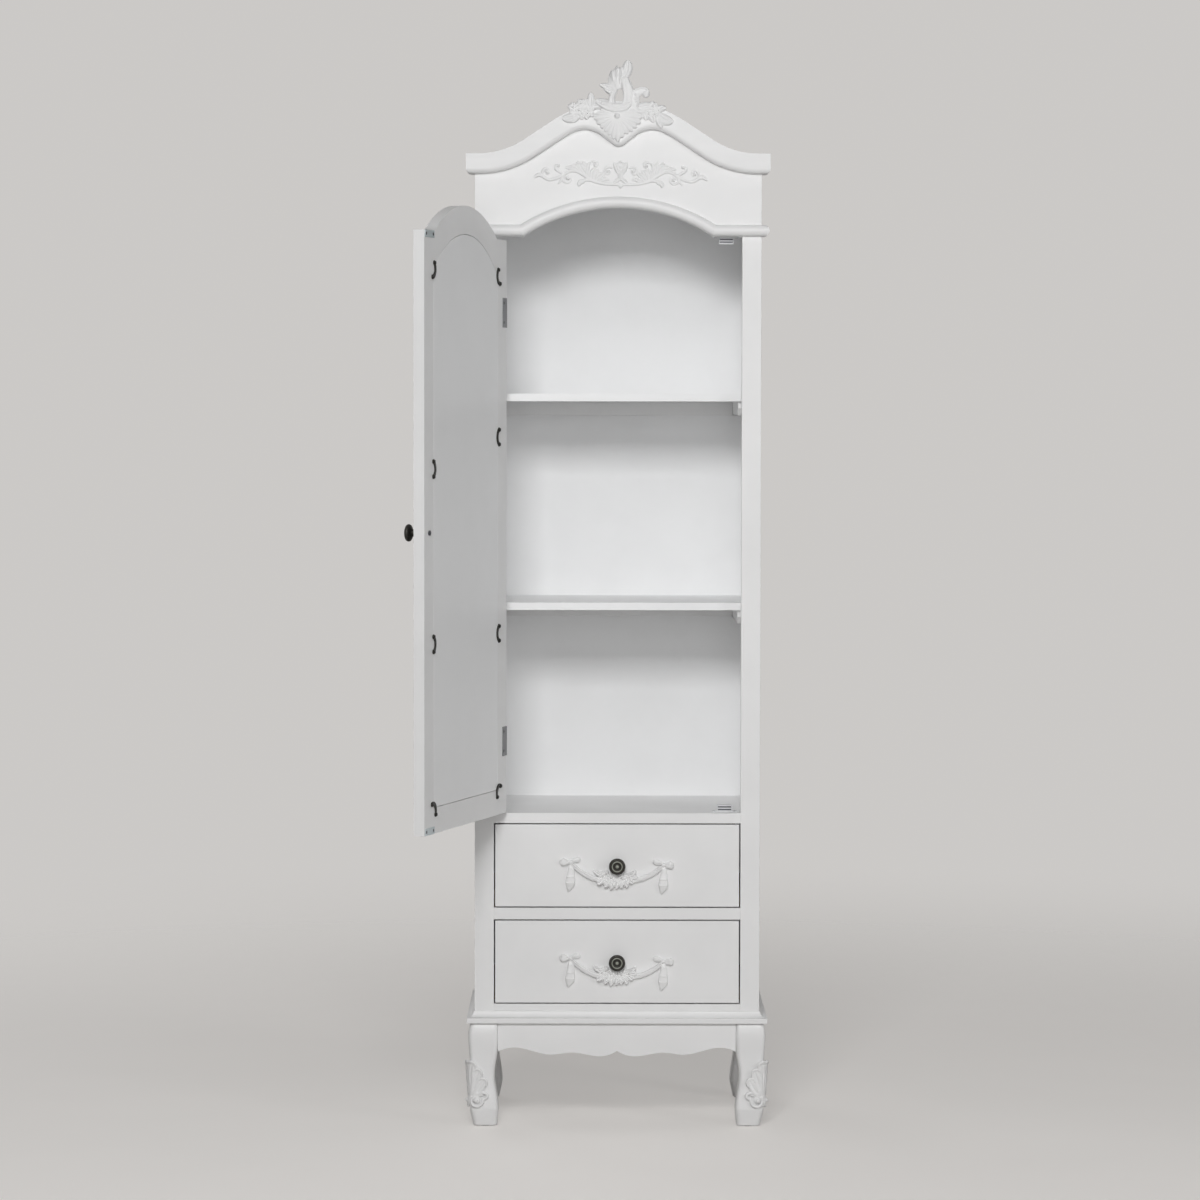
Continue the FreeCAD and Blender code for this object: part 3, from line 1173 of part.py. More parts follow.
def carcass_pieces():
    """The fixed pieces."""
    hinge_seats = Part.makeCompound(frame_leaf_plates() + frame_hinge_screws(SCREW_CLEARANCE))
    hinge_holes = Part.makeCompound(frame_hinge_screws(SCREW_CLEARANCE))
    seats = Part.makeCompound(catch_screws(SCREW_CLEARANCE))
    pieces = {
        "side_panel_left": mirrored(side_panel()),
        "side_panel_right": side_panel(),
        "front_stile_left": mirrored(stile()).cut(hinge_seats),
        "front_stile_right": stile(),
        "back_panel": back_panel(),
        "top_panel": top_panel(),
        "frieze_board": frieze_board(),
        "cornice_front": cornice_front(),
        "cornice_returns": cornice_returns(),
        "drip_moulding": drip_moulding(),
        "crest_carving": crest_carving(),
        "frieze_carving": frieze_carving(),
        "frieze_corner_blocks": corner_blocks().cut(seats),
        "compartment_floor": notched_board(FLOOR_BOTTOM, FLOOR_TOP).cut(seats),
        "drawer_rail": drawer_rail(),
        "base_panel": notched_board(PLINTH_TOP, BASE_TOP),
        "plinth_board": plinth_board(),
        "foot_glides": foot_glides(),
        "knee_carvings": knee_carvings(),
        "shelf_upper": shelf(UPPER_SHELF_HEIGHT),
        "shelf_lower": shelf(LOWER_SHELF_HEIGHT),
        "shelf_cleats": shelf_cleats(),
        "drawer_bearers": drawer_bearers(),
        "hinge_frame_leaves": hinge_frame_leaves().cut(hinge_holes),
        "hinge_pins": hinge_pins(),
        "catch_housings": catch_housings().cut(seats),
        "catch_pole_plates": Part.makeCompound(catch_poles()),
        "frame_screws": Part.makeCompound(frame_hinge_screws() + catch_screws()),
    }
    pieces.update(legs())
    pieces.update(aprons())
    return pieces


def build():
    """Every piece where it stands at rest, and the shift that sets the part over the middle of its box."""
    pieces = carcass_pieces()
    for name, shape in door_pieces().items():
        opened = shape.copy()
        opened.rotate(HINGE_AXIS, Vector(0, 0, -1), DOOR_REST_ANGLE)
        pieces[name] = opened
    pieces.update(drawer("upper", RAIL_TOP))
    pieces.update(drawer("lower", BASE_TOP))
    middle = Part.makeCompound(list(pieces.values())).BoundBox.Center
    shift = Vector(-middle.x, -middle.y, 0)
    return {name: shape.translated(shift) for name, shape in pieces.items()}, shift


def main():
    """Write one STEP file for each piece."""
    os.makedirs("parts", exist_ok=True)
    pieces, _ = build()
    for name, shape in pieces.items():
        shape.exportStep(f"parts/{name}.step")


if __name__ == "__main__":
    main()
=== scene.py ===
import json
import logging
import math
from dataclasses import dataclass, field
from enum import Enum
from typing import Callable, Iterable, Sequence

import bmesh
import bpy
from mathutils import Matrix, Vector
from mathutils.bvhtree import BVHTree


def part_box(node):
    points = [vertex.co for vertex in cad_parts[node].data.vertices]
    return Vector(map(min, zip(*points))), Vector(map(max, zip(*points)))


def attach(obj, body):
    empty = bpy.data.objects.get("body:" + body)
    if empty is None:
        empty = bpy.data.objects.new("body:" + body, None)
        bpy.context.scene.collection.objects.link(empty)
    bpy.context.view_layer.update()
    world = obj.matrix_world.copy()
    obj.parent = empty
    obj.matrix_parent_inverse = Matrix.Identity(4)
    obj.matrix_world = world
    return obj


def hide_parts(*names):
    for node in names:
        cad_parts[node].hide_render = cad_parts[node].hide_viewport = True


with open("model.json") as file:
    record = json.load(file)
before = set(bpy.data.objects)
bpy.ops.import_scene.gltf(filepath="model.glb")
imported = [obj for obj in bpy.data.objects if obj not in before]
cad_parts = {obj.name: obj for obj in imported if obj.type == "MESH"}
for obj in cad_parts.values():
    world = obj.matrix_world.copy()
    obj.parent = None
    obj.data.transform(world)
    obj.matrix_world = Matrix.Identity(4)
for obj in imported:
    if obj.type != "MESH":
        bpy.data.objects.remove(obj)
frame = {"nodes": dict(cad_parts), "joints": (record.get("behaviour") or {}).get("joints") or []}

LOG = logging.getLogger("bonnetiere")
MM = 0.001
# Name of the attribute that carries the painted highlight on the knobs' ring and button.
PAINTED_HIGHLIGHT_ATTRIBUTE = "painted_highlight"
EVEN = (1.0, 1.0, 1.0)
MIDDLE = (0.3, 0.7)
WELD_WITHIN = 0.01 * MM
EASED_ANGLE = math.radians(38)
CREASE_ANGLE = math.radians(40)
Colour = tuple[float, float, float]
Place = Callable[[Vector], Vector]


class Grain(Enum):
    """Which way the brush or the saw ran along a board, as the stretch of its marks on each axis."""

    UPRIGHT = (1.0, 1.0, 0.03)
    LEVEL = (0.03, 1.0, 1.0)
    DEEP = (1.0, 0.03, 1.0)
    NONE = (0.6, 0.6, 0.6)


class Vein(Enum):
    """What runs along the middle of a carved leaf."""

    RIDGE = "ridge"
    GROOVE = "groove"


class Slot(Enum):
    """The record's material slots, which pick the finish that a new piece takes."""

    PAINT = "white_paint"
    BRONZE = "dark_bronze"


# Finishes


class NodeSheet:
    """A material's node tree with its shader, and short ways to add nodes to it."""

    def __init__(self, name: str) -> None:
        """Starts an empty material with one principled shader.

        Args:
            name: The material's name.
        """
        self.material = bpy.data.materials.new(name)
        self.material.use_nodes = True
        self.tree = self.material.node_tree
        self.shader = self.tree.nodes["Principled BSDF"]
        self.where = self.tree.nodes.new("ShaderNodeTexCoord").outputs["Object"]

    def join(self, source: bpy.types.NodeSocket, target: bpy.types.NodeSocket) -> None:
        """Links one socket to another."""
        self.tree.links.new(source, target)

    def noise(self, stretch: Sequence[float], scale: float, detail: float = 4.0) -> bpy.types.NodeSocket:
        """Adds noise that is stretched along the axes.

        Args:
            stretch: The share of the scale on each axis.
            scale: The marks in each metre.
            detail: The octaves of noise.

        Returns:
            The noise's value socket.
        """
        mapping = self.tree.nodes.new("ShaderNodeMapping")
        mapping.inputs["Scale"].default_value = [scale * share for share in stretch]
        self.join(self.where, mapping.inputs["Vector"])
        noise = self.tree.nodes.new("ShaderNodeTexNoise")
        noise.inputs["Scale"].default_value = 1.0
        noise.inputs["Detail"].default_value = detail
        self.join(mapping.outputs["Vector"], noise.inputs["Vector"])
        return noise.outputs["Fac"]

    def ramp(self, value: bpy.types.NodeSocket, stops: Sequence[tuple[float, Sequence[float]]]
             ) -> bpy.types.NodeSocket:
        """Adds a colour ramp.

        Args:
            value: The socket that runs along the ramp.
            stops: Places from 0 to 1 with their colours.

        Returns:
            The ramp's colour socket.
        """
        ramp = self.tree.nodes.new("ShaderNodeValToRGB")
        elements = ramp.color_ramp.elements
        while len(elements) < len(stops):
            elements.new(1.0)
        for element, (place, colour) in zip(elements, stops):
            element.position = place
            element.color = (*colour, 1.0)
        self.join(value, ramp.inputs["Fac"])
        return ramp.outputs["Color"]

    def between(self, value: bpy.types.NodeSocket, low: float, high: float, spread: tuple[float, float]
                ) -> bpy.types.NodeSocket:
        """Maps a value from a spread onto the span from low to high.

        Args:
            value: The socket to map.
            low: What the start of the spread becomes.
            high: What the end of the spread becomes.
            spread: The values that are mapped.

        Returns:
            The mapped value's socket.
        """
        node = self.tree.nodes.new("ShaderNodeMapRange")
        node.inputs["From Min"].default_value, node.inputs["From Max"].default_value = spread
        node.inputs["To Min"].default_value = low
        node.inputs["To Max"].default_value = high
        self.join(value, node.inputs["Value"])
        return node.outputs["Result"]

    def bump(self, height: bpy.types.NodeSocket, strength: float, depth: float) -> None:
        """Roughens the shader's normal.

        Args:
            height: The socket that gives the height from 0 to 1.
            strength: The share of the bump that shows.
            depth: The height of the marks in metres.
        """
        node = self.tree.nodes.new("ShaderNodeBump")
        node.inputs["Strength"].default_value = strength
        node.inputs["Distance"].default_value = depth
        self.join(height, node.inputs["Height"])
        self.join(node.outputs["Normal"], self.shader.inputs["Normal"])


@dataclass(frozen=True)
class SatinPaint:
    """Brushed satin paint over wood, with faint strokes along the grain."""

    grain: Grain
    name: str = "satin paint"
    colour: Colour = (0.9, 0.9, 0.9)
    shade: float = 0.965
    strokes: float = 420.0
    stroke_depth: float = 0.00012
    roughness: tuple[float, float] = (0.36, 0.5)

    def material(self) -> bpy.types.Material:
        """Builds the paint.

        Returns:
            The material.
        """
        sheet = NodeSheet(f"{self.name} {self.grain.name.lower()}")
        strokes = sheet.noise(self.grain.value, self.strokes)
        clouds = sheet.noise(EVEN, 9.0, 3.0)
        dull = tuple(self.shade * part for part in self.colour)
        sheet.join(sheet.ramp(clouds, [(0.3, dull), (0.65, self.colour)]), sheet.shader.inputs["Base Color"])
        sheet.join(sheet.between(strokes, *self.roughness, MIDDLE), sheet.shader.inputs["Roughness"])
        sheet.shader.inputs["Specular IOR Level"].default_value = 0.45
        sheet.bump(strokes, 0.35, self.stroke_depth)
        return sheet.material


@dataclass(frozen=True)
class BareWood:
    """Pale unfinished wood with its growth lines along the grain."""

    grain: Grain
    pale: Colour = (0.60, 0.44, 0.27)
    dark: Colour = (0.40, 0.26, 0.14)
    lines: float = 130.0

    def material(self) -> bpy.types.Material:
        """Builds the wood.

        Returns:
            The material.
        """
        sheet = NodeSheet(f"bare wood {self.grain.name.lower()}")
        growth = sheet.noise(self.grain.value, self.lines, 6.0)
        pores = sheet.noise(self.grain.value, self.lines * 6, 3.0)
        colour = sheet.ramp(growth, [(0.32, self.dark), (0.5, self.pale)])
        sheet.join(colour, sheet.shader.inputs["Base Color"])
        sheet.join(sheet.between(pores, 0.55, 0.8, MIDDLE), sheet.shader.inputs["Roughness"])
        sheet.bump(pores, 0.3, 0.0002)
        return sheet.material


@dataclass(frozen=True)
class AgedBronze:
    """Dark bronze with a painted highlight: paler where a turned piece marks the highlight on its raised ring
    and button.
    """

    dark: Colour = (0.022, 0.021, 0.019)
    tarnished: Colour = (0.034, 0.031, 0.026)
    # Painted highlight colour for the knobs' raised ring and button.
    painted_highlight_colour: Colour = (0.30, 0.31, 0.27)

    def material(self) -> bpy.types.Material:
        """Builds the bronze.

        Returns:
            The material.
        """
        sheet = NodeSheet("aged bronze")
        tarnish = sheet.noise(EVEN, 700.0)
        metal = sheet.ramp(tarnish, [(0.35, self.dark), (0.65, self.tarnished)])
        # Mixes in the painted highlight where the turned piece's attribute asks for it.
        painted_highlight = sheet.tree.nodes.new("ShaderNodeAttribute")
        painted_highlight.attribute_name = PAINTED_HIGHLIGHT_ATTRIBUTE
        mix = sheet.tree.nodes.new("ShaderNodeMix")
        mix.data_type = "RGBA"
        mix.inputs["B"].default_value = (*self.painted_highlight_colour, 1.0)
        sheet.join(painted_highlight.outputs["Fac"], mix.inputs["Factor"])
        sheet.join(metal, mix.inputs["A"])
        sheet.join(mix.outputs["Result"], sheet.shader.inputs["Base Color"])
        sheet.join(sheet.between(tarnish, 0.36, 0.58, MIDDLE), sheet.shader.inputs["Roughness"])
        sheet.shader.inputs["Metallic"].default_value = 0.6
        sheet.bump(tarnish, 0.15, 0.0001)
        return sheet.material


@dataclass(frozen=True)
class ZincSteel:
    """Zinc plated steel with a faint crystal bloom."""

    name: str
    bright: Colour
    dull: Colour

    def material(self) -> bpy.types.Material:
        """Builds the steel.

        Returns:
            The material.
        """
        sheet = NodeSheet(self.name)
        bloom = sheet.noise(EVEN, 500.0)
        colour = sheet.ramp(bloom, [(0.35, self.dull), (0.65, self.bright)])
        sheet.join(colour, sheet.shader.inputs["Base Color"])
        sheet.join(sheet.between(bloom, 0.3, 0.48, MIDDLE), sheet.shader.inputs["Roughness"])
        sheet.shader.inputs["Metallic"].default_value = 1.0
        sheet.bump(bloom, 0.1, 0.00005)
        return sheet.material


@dataclass(frozen=True)
class SilveredGlass:
    """A mirror, with the faint waviness of drawn glass."""

    silver: Colour = (0.86, 0.88, 0.88)

    def material(self) -> bpy.types.Material:
        """Builds the mirror.

        Returns:
            The material.
        """
        sheet = NodeSheet("silvered glass")
        wave = sheet.noise(EVEN, 5.0, 1.0)
        tint = tuple(0.985 * part for part in self.silver)
        sheet.join(sheet.ramp(wave, [(0.3, tint), (0.7, self.silver)]), sheet.shader.inputs["Base Color"])
        sheet.shader.inputs["Metallic"].default_value = 1.0
        sheet.shader.inputs["Roughness"].default_value = 0.02
        sheet.bump(wave, 0.02, 0.0004)
        return sheet.material


@dataclass(frozen=True)
class MouldedPlastic:
    """Moulded plastic with a fine texture."""

    name: str
    colour: Colour

    def material(self) -> bpy.types.Material:
        """Builds the plastic.

        Returns:
            The material.
        """
        sheet = NodeSheet(self.name)
        pits = sheet.noise(EVEN, 1500.0, 2.0)
        dull = tuple(0.9 * part for part in self.colour)
        sheet.join(sheet.ramp(pits, [(0.3, dull), (0.7, self.colour)]), sheet.shader.inputs["Base Color"])
        sheet.join(sheet.between(pits, 0.42, 0.6, MIDDLE), sheet.shader.inputs["Roughness"])
        sheet.bump(pits, 0.2, 0.00008)
        return sheet.material


class Palette:
    """Every finish of the cabinet, made once."""

    def __init__(self) -> None:
        """Builds the materials."""
        self.paint = {grain: SatinPaint(grain).material() for grain in Grain}
        # The inner boards and the mirror backing get a whiter, cooler paint; part of its extra brightness is
        # painted light that lifts the interior and the door back.
        self.inside = {grain: SatinPaint(grain, "inside white", (0.95, 0.955, 0.96)).material()
                       for grain in (Grain.UPRIGHT, Grain.LEVEL)}
        self.wood = {grain: BareWood(grain).material() for grain in (Grain.LEVEL, Grain.DEEP)}
        self.bronze = AgedBronze().material()
        self.steel = ZincSteel("zinc screws", (0.10, 0.10, 0.11), (0.05, 0.05, 0.06)).material()
        self.plate = ZincSteel("zinc plates", (0.27, 0.27, 0.28), (0.19, 0.19, 0.20)).material()
        self.strike = ZincSteel("zinc strikes", (0.62, 0.68, 0.70), (0.48, 0.53, 0.55)).material()
        self.mirror = SilveredGlass().material()
        self.pale = MouldedPlastic("pale plastic", (0.74, 0.75, 0.76)).material()
        self.dark = MouldedPlastic("dark plastic", (0.03, 0.03, 0.03)).material()

    def dress(self, node: str, finish: bpy.types.Material) -> None:
        """Gives a CAD node its finish in place of the plain one.

        Args:
            node: The node's name.
            finish: The material.
        """
        mesh = frame["nodes"][node].data
        mesh.materials.clear()
        mesh.materials.append(finish)

    def finish(self, piece: bpy.types.Object, slot: Slot, body: str, node: str) -> bpy.types.Object:
        """Finishes a new piece and puts it in the place of a CAD node.

        Args:
            piece: The piece.
            slot: The record's slot, paint or bronze, whose finish it takes.
            body: The body that it moves with.
            node: The node that it stands for.

        Returns:
            The piece.
        """
        piece.data.materials.append(self.bronze if slot is Slot.BRONZE else self.paint[Grain.NONE])
        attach(piece, body)
        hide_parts(node)
        return piece


# Shapes that several pieces share


def smooth_line(corners: Sequence[Sequence[float]], steps: int) -> list[Vector]:
    """A smooth line through given points.

    Args:
        corners: Points with the same number of parts each.
        steps: The stretches between two neighbours.

    Returns:
        The line's points, ends included.
    """
    knots = [Vector(corner) for corner in corners]
    padded = [2 * knots[0] - knots[1], *knots, 2 * knots[-1] - knots[-2]]
    line = []
    for before, start, end, after in zip(padded, padded[1:], padded[2:], padded[3:]):
        for step in range(steps):
            t = step / steps
            line.append(0.5 * (2 * start + (end - before) * t
                               + (2 * before - 5 * start + 4 * end - after) * t ** 2
                               + (3 * start - before - 3 * end + after) * t ** 3))
    return line + [knots[-1]]


def new_object(name: str, points: Iterable[Vector], faces: Iterable[Sequence[int]]) -> bpy.types.Object:
    """Makes an object out of points and faces.

    Args:
        name: The object's name.
        points: The corners.
        faces: Each face's corners by number.

    Returns:
        The object, in the scene.
    """
    mesh = bpy.data.meshes.new(name)
    mesh.from_pydata([tuple(point) for point in points], [], [tuple(face) for face in faces])
    shell = bmesh.new()
    shell.from_mesh(mesh)
    bmesh.ops.recalc_face_normals(shell, faces=shell.faces)
    shell.to_mesh(mesh)
    shell.free()
    piece = bpy.data.objects.new(name, mesh)
    bpy.context.scene.collection.objects.link(piece)
    return piece


def settle(piece: bpy.types.Object, crease: float = CREASE_ANGLE) -> None:
    """Applies a piece's modifiers and shades it smooth, with sharp edges past the crease angle.

    Args:
        piece: The piece.
        crease: The angle in radians.
    """
    graph = bpy.context.evaluated_depsgraph_get()
    mesh = bpy.data.meshes.new_from_object(piece.evaluated_get(graph))
    piece.modifiers.clear()
    piece.data = mesh
    mesh.shade_smooth()
    mesh.set_sharp_from_angle(angle=crease)


def ease(piece: bpy.types.Object, width: float) -> None:
    """Rounds a piece's sharp edges by modifiers, which leave its own mesh as it is.

    Args:
        piece: The piece or the CAD node.
        width: The width of the rounding in metres.
    """
    piece.modifiers.new("weld", "WELD").merge_threshold = WELD_WITHIN
    bevel = piece.modifiers.new("ease", "BEVEL")
    bevel.limit_method = "ANGLE"
    bevel.angle_limit = EASED_ANGLE
    bevel.width = width
    bevel.segments = 2
    piece.modifiers.new("even", "WEIGHTED_NORMAL").weight = 100


def melt(piece: bpy.types.Object, fineness: float, passes: int) -> None:
    """Melts a piece's lumps and edges into one soft skin.

    Args:
        piece: The piece, of closed shells.
        fineness: The finest detail that is kept, in metres.
        passes: How often the skin is smoothed.
    """
    skin = piece.modifiers.new("melt", "REMESH")
    skin.mode = "VOXEL"
    skin.voxel_size = fineness
    soften = piece.modifiers.new("soften", "SMOOTH")
    soften.factor = 0.5
    soften.iterations = passes
    settle(piece)


class Relief:
    """Carved work built up from closed lumps, in millimetres: u to the right, v up and w out of the board."""

    ROUND = 12
    PASSES = 3

    def __init__(self) -> None:
        """Starts with nothing carved."""
        self.points: list[Vector] = []
        self.faces: list[tuple[int, ...]] = []

    def loft(self, rings: Sequence[Sequence[Vector]]) -> None:
        """Adds a closed lump through rings of points.

        Args:
            rings: Rings with the same number of points each.
        """
        start = len(self.points)
        count = len(rings[0])
        for ring in rings:
            self.points.extend(ring)
        for row in range(len(rings) - 1):
            for corner in range(count):
                here = start + row * count + corner
                beside = start + row * count + (corner + 1) % count
                self.faces.append((here, beside, beside + count, here + count))
        last = len(self.points) - count
        self.faces.append(tuple(range(start, start + count)))
        self.faces.append(tuple(range(last, last + count)))

    def sweep(self, line: Sequence[Vector], flat: float, lift: float, square: float = 1.0) -> None:
        """Adds a tapering bar.

        Args:
            line: Points with the bar's place u, v and its width.
            flat: The bar's height as a share of its width.
            lift: The height of the bar's middle.
            square: 1 for a round section; less makes its sides steeper.
        """
        lengths = [0.0]
        for start, end in zip(line, line[1:]):
            lengths.append(lengths[-1] + (end - start).xy.length)
        rings = []
        for index, knot in enumerate(line):
            heading = (line[min(index + 1, len(line) - 1)] - line[max(index - 1, 0)]).xy.normalized()
            reach = max(knot.z / 2, 0.1)
            nearest = min(lengths[index], lengths[-1] - lengths[index])
            swell = math.sqrt(max(0.04, 1 - (1 - min(1.0, nearest / reach)) ** 2))
            ring = []
            for corner in range(self.ROUND):
                turn = 2 * math.pi * (corner + 0.5) / self.ROUND
                out, rise = (math.copysign(abs(part) ** square, part)
                             for part in (math.cos(turn), math.sin(turn)))
                out *= reach * swell
                rise = lift + rise * reach * swell * flat
                ring.append(Vector((knot.x - heading.y * out, knot.y + heading.x * out, rise)))
            rings.append(ring)
        self.loft(rings)

    def stem(self, knots: Sequence[Sequence[float]], flat: float = 0.8, lift: float = 0.0,
             square: float = 1.0) -> None:
        """Adds a tapering stem through knots that give u, v and the stem's width there."""
        self.sweep(smooth_line(knots, 7), flat, lift, square)

    def volute(self, centre: Sequence[float], radius: float, start: float, turn: float, width: float,
               flat: float = 0.8, lift: float = 0.0) -> None:
        """Adds a scroll that winds in to an eye.

        Args:
            centre: The eye's u and v.
            radius: The scroll's radius where it starts.
            start: The angle where it starts, in degrees from u towards v.
            turn: The angle that it winds through, in degrees; below zero is clockwise.
            width: The band's width where it starts.
            flat: The band's height as a share of its width.
            lift: The height of the band's middle.
        """
        line = []
        steps = max(12, int(abs(turn) / 15))
        for step in range(steps + 1):
            share = step / steps
            angle = math.radians(start + turn * share)
            reach = radius * (1 - 0.86 * share ** 0.85)
            line.append(Vector((centre[0] + reach * math.cos(angle), centre[1] + reach * math.sin(angle),
                                width * (1 - 0.4 * share))))
        self.sweep(line, flat, lift)
        self.bead(centre, width * 0.62, width * 0.75, lift)

    def bead(self, centre: Sequence[float], radius: float, height: float, lift: float = 0.0) -> None:
        """Adds a rounded boss.

        Args:
            centre: Its u and v.
            radius: Its radius.
            height: How far it stands out from its middle.
            lift: The height of its middle.
        """
        rings = []
        layers = 8
        for layer in range(layers + 1):
            tilt = math.pi * (layer / layers - 0.5) * 0.98
            ring = []
            for corner in range(self.ROUND):
                turn = 2 * math.pi * corner / self.ROUND
                ring.append(Vector((centre[0] + radius * math.cos(tilt) * math.cos(turn),
                                    centre[1] + radius * math.cos(tilt) * math.sin(turn),
                                    lift + height * math.sin(tilt))))
            rings.append(ring)
        self.loft(rings)

    def blade(self, spine: Sequence[Sequence[float]], width: float, rise: float, curl: float = 0.0,
              lobes: int = 0, blunt: float = 0.75, vein: Vein = Vein.RIDGE, lift: float = 0.0,
              sink: float = 1.0) -> None:
        """Adds a leaf.

        Args:
            spine: Points u, v from the leaf's foot to its tip.
            width: The width at its widest.
            rise: How far its middle stands out.
            curl: How far its tip bends out.
            lobes: The number of lobes along each edge.
            blunt: 1 for a pointed tip; less makes it rounder.
            vein: What runs along its middle.
            lift: The height of its foot.
            sink: How far its back lies behind the face.
        """
        line = smooth_line(spine, 24 // (len(spine) - 1))
        across = [step / 5 for step in range(-5, 6)]
        rings = []
        for index, knot in enumerate(line):
            share = index / (len(line) - 1)
            heading = (line[min(index + 1, len(line) - 1)] - line[max(index - 1, 0)]).normalized()
            side = Vector((-heading.y, heading.x))
            half = width / 2 * max(0.04, math.sin(math.pi * (0.13 + 0.87 * share))) ** blunt
            if lobes:
                half *= 0.84 + 0.16 * math.cos(2 * math.pi * (lobes * share - 0.5))
            body = 0.45 + 0.55 * math.sin(math.pi * min(1.0, 0.15 + 0.8 * share))
            bend = curl * share ** 3
            ring = []
            for part in across:
                if vein is Vein.RIDGE:
                    ripple = math.cos(2 * math.pi * (4.5 * share - 1.2 * abs(part))) * abs(part)
                    ridge = 0.22 * math.exp(-(part / 0.16) ** 2)
                    height = body * (1 - 0.55 * part ** 2) + ridge - 0.1 * ripple
                else:
                    height = body * (0.7 + 0.45 * math.sin(math.pi * abs(part)) - 0.3 * part ** 2)
                place = knot + side * half * part
                ring.append(Vector((place.x, place.y, lift + rise * height + bend)))
            under = -sink + max(0.0, bend - 1.5)
            for part in (1.0, 0.4, -0.4, -1.0):
                place = knot + side * half * part * 0.96
                ring.append(Vector((place.x, place.y, under)))
            rings.append(ring)
        self.loft(rings)

    def bloom(self, centre: Sequence[float], radius: float, petals: int, rise: float,
              turn: float = 0.0) -> None:
        """Adds an open flower with a bead in its middle.

        Args:
            centre: Its u and v.
            radius: Its radius.
            petals: The number of petals.
            rise: How far it stands out.
            turn: The first petal's angle in degrees.
        """
        self.bead(centre, radius * 0.7, rise * 0.55)
        for petal in range(petals):
            angle = math.radians(turn + 360 * petal / petals)
            heading = Vector((math.cos(angle), math.sin(angle)))
            spine = [Vector(centre) + heading * radius * share for share in (0.12, 0.55, 1.0)]
            self.blade(spine, radius * 5.6 / petals, rise * 0.75, rise * 0.1, 0, 0.36, Vein.GROOVE)
        self.bead(centre, radius * 0.27, rise * 0.6, rise * 0.45)

    def fan(self, eye: Vector, rim: Sequence[Sequence[float]], ribs: int, rise: float) -> None:
        """Adds a scallop shell whose ribs spread from an eye.

        Args:
            eye: Where the ribs meet.
            rim: Angles in degrees from u towards v, each with the rim's distance from the eye.
            ribs: The number of ribs.
            rise: How far the shell's middle stands out.
        """
        steps = 10
        edge = smooth_line(rim, 24)
        start, end = edge[0].x, edge[-1].x
        shares = [0.03] + [(step + 1) / steps for step in range(steps)]
        rings = []
        for share in shares:
            ring = []
            for angle, reach in edge:
                ridge = abs(math.sin(math.pi * ribs * (angle - start) / (end - start)))
                out = share * reach * (0.92 + 0.12 * ridge * share)
                dome = 0.42 + 0.58 * math.sqrt(1 - 0.9 * share ** 2)
                height = rise * (dome + 0.11 * (ridge - 0.6) * share ** 0.7)
                turn = math.radians(angle)
                ring.append(Vector((eye.x + out * math.cos(turn), eye.y + out * math.sin(turn), height)))
            rings.append(ring)
        rings.append([Vector((point.x, point.y, -1)) for point in rings[-1]])
        self.loft(rings)

    def mirrored(self) -> "Relief":
        """The same work turned over left to right."""
        other = Relief()
        other.points = [Vector((-point.x, point.y, point.z)) for point in self.points]
        other.faces = [tuple(reversed(face)) for face in self.faces]
        return other

    def add(self, other: "Relief") -> None:
        """Adds another relief's lumps to these."""
        start = len(self.points)
        self.points += other.points
        self.faces += [tuple(start + corner for corner in face) for face in other.faces]

    def carved(self, name: str, place: Place, grain_size: float, most_faces: int) -> bpy.types.Object:
        """Melts the lumps into one carving.

        Args:
            name: The piece's name.
            place: Takes a point of the relief to its place in metres.
            grain_size: The finest detail that is kept, in metres.
            most_faces: The most triangles that are kept.

        Returns:
            The carving, smoothed.
        """
        piece = new_object(name, [place(point) for point in self.points], self.faces)
        melt(piece, grain_size, self.PASSES)
        triangles = 2 * len(piece.data.polygons)
        if triangles > most_faces:
            thin = piece.modifiers.new("thin", "DECIMATE")
            thin.ratio = most_faces / triangles
            settle(piece, math.pi)
        else:
            piece.data.shade_smooth()
        return piece


# The plan of the cabinet, read from the frame


@dataclass
class Plan:
    """Where the cabinet stands in the frame, in metres."""

    middle: float = field(init=False)
    face: float = field(init=False)
    cornice_face: float = field(init=False)
    swing: Matrix = field(init=False)

    def __post_init__(self) -> None:
        """Reads the places from the CAD nodes and the door's rest angle from its joint."""
        low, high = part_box("frieze_board")
        self.middle = (low.x + high.x) / 2
        self.face = low.y
        self.cornice_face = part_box("cornice_front")[0].y
        hinge = next(joint for joint in frame["joints"] if joint["name"] == "door_hinge")
        pivot = Matrix.Translation(Vector(hinge["pos_m"]))
        turn = Matrix.Rotation(math.radians(-hinge["range_deg"][0]), 4, Vector(hinge["axis"]))
        self.swing = pivot @ turn @ pivot.inverted()

    def on_face(self, origin: Vector, tilt: float = 0.0) -> Place:
        """How a relief is set on an upright face that looks to the front.

        Args:
            origin: Where the relief's own origin goes.
            tilt: The angle that it leans anticlockwise, in radians.

        Returns:
            The function that places a point.
        """
        across = Vector((math.cos(tilt), 0, math.sin(tilt)))
        up = Vector((-math.sin(tilt), 0, math.cos(tilt)))
        out = Vector((0, -1, 0))
        return lambda point: origin + (across * point.x + up * point.y + out * point.z) * MM


# Carved work


